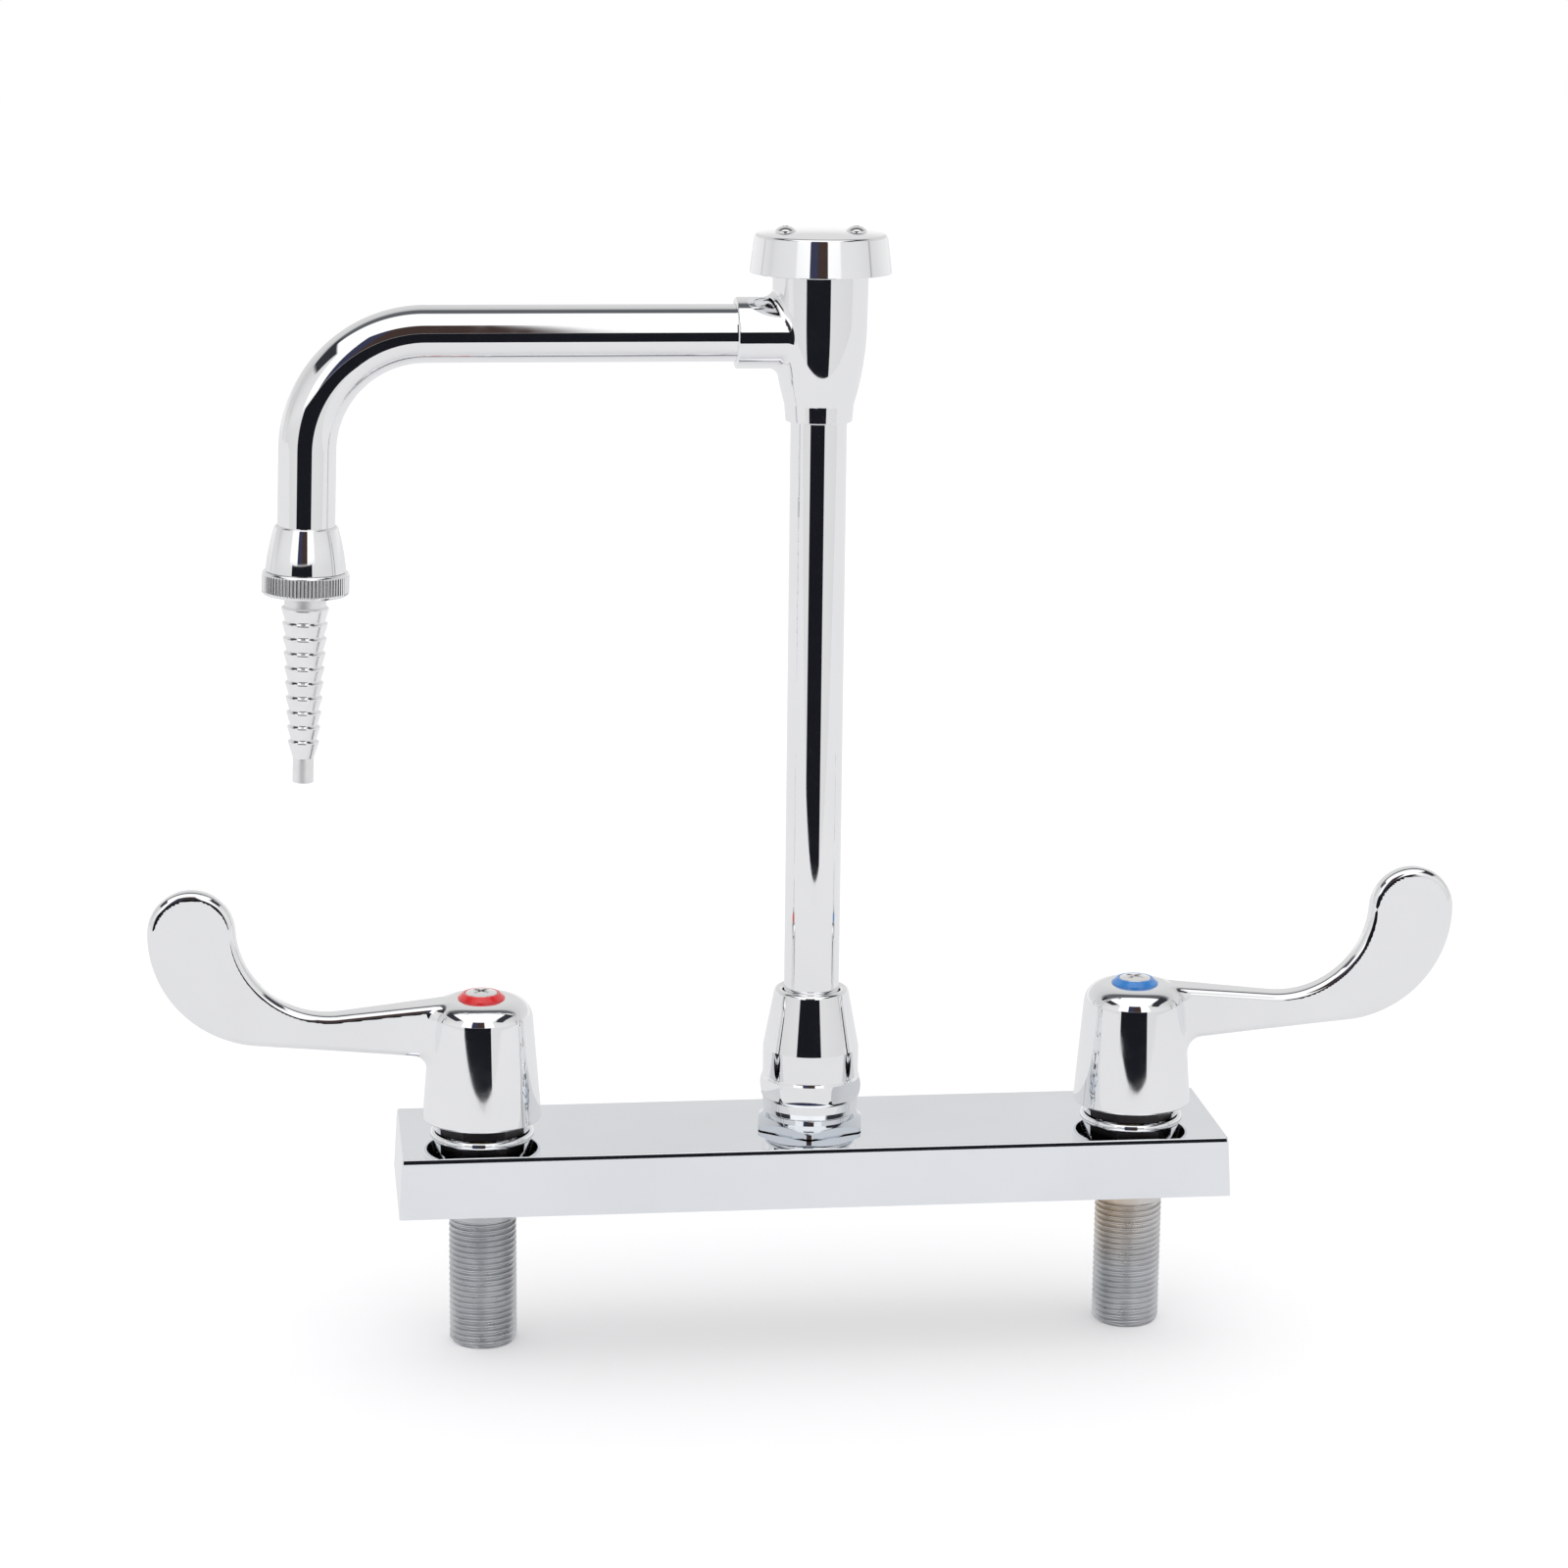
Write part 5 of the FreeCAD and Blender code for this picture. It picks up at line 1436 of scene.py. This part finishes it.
def cap_mesh():
    path = Outline(CAP_BOTTOM_RADIUS - CAP_WALL, CAP_BOTTOM)
    path.round((CAP_BOTTOM_RADIUS, CAP_BOTTOM), CAP_SHOULDER, 0.25, 4)
    path.round(CAP_SHOULDER, (0, CAP_CROWN), CAP_EDGE, 10)
    sphere, centre = dome(*path.points[-1], CAP_CROWN)
    add_dome(path, CAP_CROWN, 24)
    path.line(0, CAP_UNDERSIDE).line(CAP_SHOULDER[0] - CAP_WALL, CAP_UNDERSIDE).close()
    lowest = centre + math.sqrt(sphere ** 2 - (CAP_SCREW_PLACE + CAP_SCREW["head"]) ** 2)
    seat, seat_radius = lowest - CAP_SCREW_RECESS, CAP_SCREW["head"] + FIT_GAP
    low, high = CAP_UNDERSIDE - 1, CAP_CROWN + 1
    step = Outline(0, low).line(CAP_SCREW_HOLE, low).line(CAP_SCREW_HOLE, seat)
    step.line(seat_radius, seat).line(seat_radius, high).line(0, high)
    made = turned(path, 192)
    for x in (-CAP_SCREW_PLACE, CAP_SCREW_PLACE):
        hole = turned(step, 64, place=Matrix.Translation((x, 0, 0)))
        made = combine(made, hole, "DIFFERENCE")
    lathe = shade_by(path)

    def normal_at(place, middle, flat):
        for x in (-CAP_SCREW_PLACE, CAP_SCREW_PLACE):
            if math.hypot(middle[0] - x, middle[1]) < seat_radius and middle[2] > CAP_UNDERSIDE:
                if abs(flat[2]) > 0.5:
                    return flat
                away = np.array([x - place[0], -place[1], 0])
                return away / max(np.linalg.norm(away), 1e-9)
        return lathe(place, middle)

    return shaded_like(made, normal_at), seat


cap, cap_seat = cap_mesh()
new_piece("breaker_cap_dished", "spout", breaker_chrome, ["vb_cap"], cap)


# Screws: domed heads with a cross recess

def screw_mesh(place, head, rim, height, shank, length, wing, reach, turn):
    """Screw by radius and rim of its head, its height, its shank, and width, length and turn of its cross."""
    path = Outline(0, -length).line(shank - 0.3, -length).line(shank, 0.3 - length).line(shank, 0)
    path.round((head, 0), (head, rim), 0.15, 3)
    path.round((head, rim), (head / 2, (rim + height) / 2 + 0.3), 0.2, 3)
    add_dome(path, height, 14)
    made = turned(path, 96)
    levels = ((wing * 0.32, height - 1.3), (wing / 2, height - 0.25), (wing / 2, height + 0.5))
    slot = [(x * reach / 2, y * half_width, level) for half_width, level in levels
            for x, y in ((-1, -1), (1, -1), (1, 1), (-1, 1))]
    faces = [[3, 2, 1, 0], [8, 9, 10, 11]]
    faces += [[row + i, row + (i + 1) % 4, row + 4 + (i + 1) % 4, row + 4 + i] for row in (0, 4) for i in range(4)]
    for angle in (turn, turn + 90):
        spin = np.array(Matrix.Rotation(math.radians(angle), 3, "Z"))
        made = combine(made, mesh_from(np.array(slot) @ spin.T, faces), "DIFFERENCE")
    moved = crease(made, 32)
    moved.transform(Matrix.Translation(Vector(place) * MM))
    return moved


for side, x in SIDES:
    new_piece(side + "_cross_screw", side + "_lever", screw_steel, [side + "_handle_screw"],
              screw_mesh((x, 0, HUB_TOP), **HANDLE_SCREW))
for side, x, replaced in (("left", -CAP_SCREW_PLACE, ["vb_cap_screws"]), ("right", CAP_SCREW_PLACE, [])):
    new_piece("cap_cross_screw_" + side, "spout", screw_steel, replaced,
              screw_mesh((x, 0, cap_seat), **CAP_SCREW))


# Floor of pale paper that shows white to the camera and keeps the shadow, in metres

FLOOR_HEIGHT = -0.04872
FLOOR_FRONT = -0.58
FLOOR_REACH = 6.0
FLOOR_GLOW_SEEN = 0.27
FLOOR_GLOW_MIRRORED = 0.03
WHITE = (1.0, 1.0, 1.0)


def floor():
    mesh = bpy.data.meshes.new("floor")
    mesh.from_pydata([(-FLOOR_REACH, FLOOR_FRONT, 0), (FLOOR_REACH, FLOOR_FRONT, 0),
                      (FLOOR_REACH, FLOOR_REACH, 0), (-FLOOR_REACH, FLOOR_REACH, 0)], [], [[0, 1, 2, 3]])
    piece = bpy.data.objects.new("floor", mesh)
    piece.location.z = FLOOR_HEIGHT
    SCENE.collection.objects.link(piece)
    made = Finish("floor_paper", 0.0)
    made.shade((0.80, 0.80, 0.81), 0.9)
    made.shader.inputs["Specular IOR Level"].default_value = 0.1
    path = made.add("LightPath")
    glow = made.maths("MULTIPLY_ADD", path["Is Glossy Ray"], FLOOR_GLOW_MIRRORED,
                      made.maths("MULTIPLY", path["Is Camera Ray"], FLOOR_GLOW_SEEN))
    light = made.add("Emission", {"Color": WHITE, "Strength": glow})
    both = made.add("AddShader", {0: made.shader.outputs["BSDF"], 1: light["Emission"]})
    made.set(made.tree.nodes["Material Output"].inputs["Surface"], both["Shader"])
    mesh.materials.append(made.material)


floor()


# Camera at the photograph's place, and the studio that the chrome mirrors round it

CAMERA_YAW = 7.19
CAMERA_PITCH = 13.02
CAMERA_ROLL = 0.65
CAMERA_PLACE = (-160.6, -1200.0, 406.5)
CAMERA_FOCAL = 4160.1
IMAGE_SIZE = 1600

# Grey of the walls: by degrees round the object away from the camera's bearing, and by degrees over the top
WALL_ROUND = ((0.0, 0.78), (34.0, 0.77), (68.0, 0.75), (86.0, 0.73), (104.0, 0.78), (128.0, 0.87), (180.0, 0.98))
WALL_OVER = ((0.0, 0.86), (50.0, 0.76), (100.0, 0.63), (125.0, 0.65), (140.0, 0.71), (170.0, 0.76), (180.0, 0.96))
REAR_BAND = (0.115, 0.12, 0.13)
PANEL_FRAME = (0.036, 0.038, 0.045)
PANEL_LIGHT = (1.13, 1.13, 1.13)
OPENING = (0.010, 0.011, 0.015)
GAP_LEFT = (0.042, 0.046, 0.088)
GAP_RIGHT = (0.056, 0.036, 0.032)
SEAM = (0.05, 0.05, 0.055)


def surroundings():
    """World of a few soft edges by mirror direction: walls, ceiling panel, opening, gap and seams.

    Azimuth and elevation are in degrees from the camera's bearing and from level.
    """
    world = bpy.data.worlds.new("studio")
    SCENE.world = world
    room = Shading(world)
    room.tree.nodes.clear()
    maths = room.maths

    def above(value, edge, soft, first=0.0, last=1.0):
        """Soft step from first to last at an edge."""
        return room.ramp(value, edge - soft, edge + soft, first, last, "SMOOTHSTEP")

    def band(value, low, high, soft):
        """One from low to high and zero outside, with soft edges."""
        return maths("MULTIPLY", above(value, low, soft), above(value, high, soft, 1.0, 0.0))

    def product(first, *others):
        for other in others:
            first = maths("MULTIPLY", first, other)
        return first

    def levels(source, stops):
        """Grey level over half a turn, straight between the stops."""
        made = room.tree.nodes.new("ShaderNodeValToRGB")
        scale = made.color_ramp
        while len(scale.elements) < len(stops):
            scale.elements.new(0.5)
        for element, (place, level) in zip(scale.elements, stops):
            element.position = place / 180
            element.color = (level, level, level, 1)
        room.set(made.inputs["Fac"], maths("DIVIDE", source, 180.0, clamp=True))
        return made.outputs["Color"]

    x, y, z = room.axes("Generated")
    yaw = math.radians(CAMERA_YAW)
    ahead = maths("MULTIPLY_ADD", x, -math.sin(yaw), maths("MULTIPLY", y, -math.cos(yaw)))
    across = maths("MULTIPLY_ADD", x, math.cos(yaw), maths("MULTIPLY", y, -math.sin(yaw)))
    azimuth = maths("DEGREES", maths("ARCTAN2", across, ahead))
    elevation = maths("DEGREES", maths("ARCSINE", z))

    # pale walls, by direction round the object and, higher up, by angle over the top to the back wall
    over = maths("DEGREES", maths("ARCTAN2", z, ahead))
    shown = room.mix(above(elevation, 6.0, 6.0), levels(maths("ABSOLUTE", azimuth), WALL_ROUND),
                     levels(over, WALL_OVER))

    # light panel overhead in a dark frame, in the coordinates of a ceiling: forward and sideways per height
    height = maths("MAXIMUM", z, 0.03)
    forward = maths("DIVIDE", ahead, height)
    sideways = maths("DIVIDE", across, height)
    high_up = above(z, 0.25, 0.1)
    rear = product(band(forward, -0.50, 0.0, 0.16), band(sideways, -1.2, 1.3, 0.3), high_up)
    shown = room.mix(rear, shown, REAR_BAND)
    left = product(band(sideways, -1.55, -0.85, 0.09), band(forward, -0.33, 0.86, 0.07), high_up)
    lean = maths("MULTIPLY", maths("MAXIMUM", maths("SUBTRACT", forward, 0.5), 0.0), 0.45)
    right = product(band(maths("SUBTRACT", sideways, lean), 0.68, 1.38, 0.09), band(forward, -0.28, 1.12, 0.07),
                    high_up)
    shown = room.mix(maths("MAXIMUM", left, right), shown, PANEL_FRAME)
    panel = product(band(sideways, -0.90, 0.72, 0.03), band(forward, -0.04, 0.97, 0.03), high_up)
    front = product(above(forward, 0.95, 0.03), band(azimuth, -41.0, 33.0, 2.0), above(elevation, 8.0, 2.0))
    shown = room.mix(maths("MAXIMUM", panel, front), shown, PANEL_LIGHT)

    # dark opening towards the camera, the tinted gap over it and the seams of the walls
    opening = product(band(azimuth, -33.5, 25.0, 0.6), band(elevation, -60.0, 7.3, 0.4))
    shown = room.mix(opening, shown, OPENING)
    gap = product(band(azimuth, -18.0, 11.5, 0.8), band(elevation, 7.5, 39.0, 1.0))
    shown = room.mix(gap, shown, room.mix(above(azimuth, -5.0, 1.5), GAP_LEFT, GAP_RIGHT))
    seams = maths("MAXIMUM", band(azimuth, 88.0, 91.0, 1.2),
                  maths("MULTIPLY", band(azimuth, -113.0, -110.0, 1.5), 0.7))
    shown = room.mix(product(seams, band(elevation, -60.0, 16.0, 1.0), 0.4), shown, SEAM)

    # only mirrors see the studio: to the camera and as light the world is plain white
    mirrored = room.add("Background", {"Color": shown})["Background"]
    plain = room.add("Background", {"Color": WHITE})["Background"]
    choose = room.add("MixShader", {"Fac": room.add("LightPath")["Is Glossy Ray"], 1: plain, 2: mirrored})
    output = room.tree.nodes.new("ShaderNodeOutputWorld")
    room.set(output.inputs["Surface"], choose["Shader"])


surroundings()


def camera():
    data = bpy.data.cameras.new("camera")
    data.sensor_width = 36.0
    data.lens = CAMERA_FOCAL / IMAGE_SIZE * data.sensor_width
    data.clip_start = 0.01
    data.clip_end = 60.0
    eye = bpy.data.objects.new("camera", data)
    SCENE.collection.objects.link(eye)
    yaw, pitch, roll = (math.radians(v) for v in (CAMERA_YAW, CAMERA_PITCH, CAMERA_ROLL))
    forward = Vector((math.sin(yaw) * math.cos(pitch), math.cos(yaw) * math.cos(pitch), -math.sin(pitch)))
    right = Vector((math.cos(yaw), -math.sin(yaw), 0))
    up = right.cross(forward)
    level_right = right * math.cos(roll) + up * math.sin(roll)
    level_up = up * math.cos(roll) - right * math.sin(roll)
    turn = Matrix((level_right, level_up, -forward)).transposed().to_4x4()
    eye.matrix_world = Matrix.Translation(Vector(CAMERA_PLACE) * MM) @ turn
    SCENE.camera = eye


camera()

SCENE.view_settings.view_transform = "Standard"
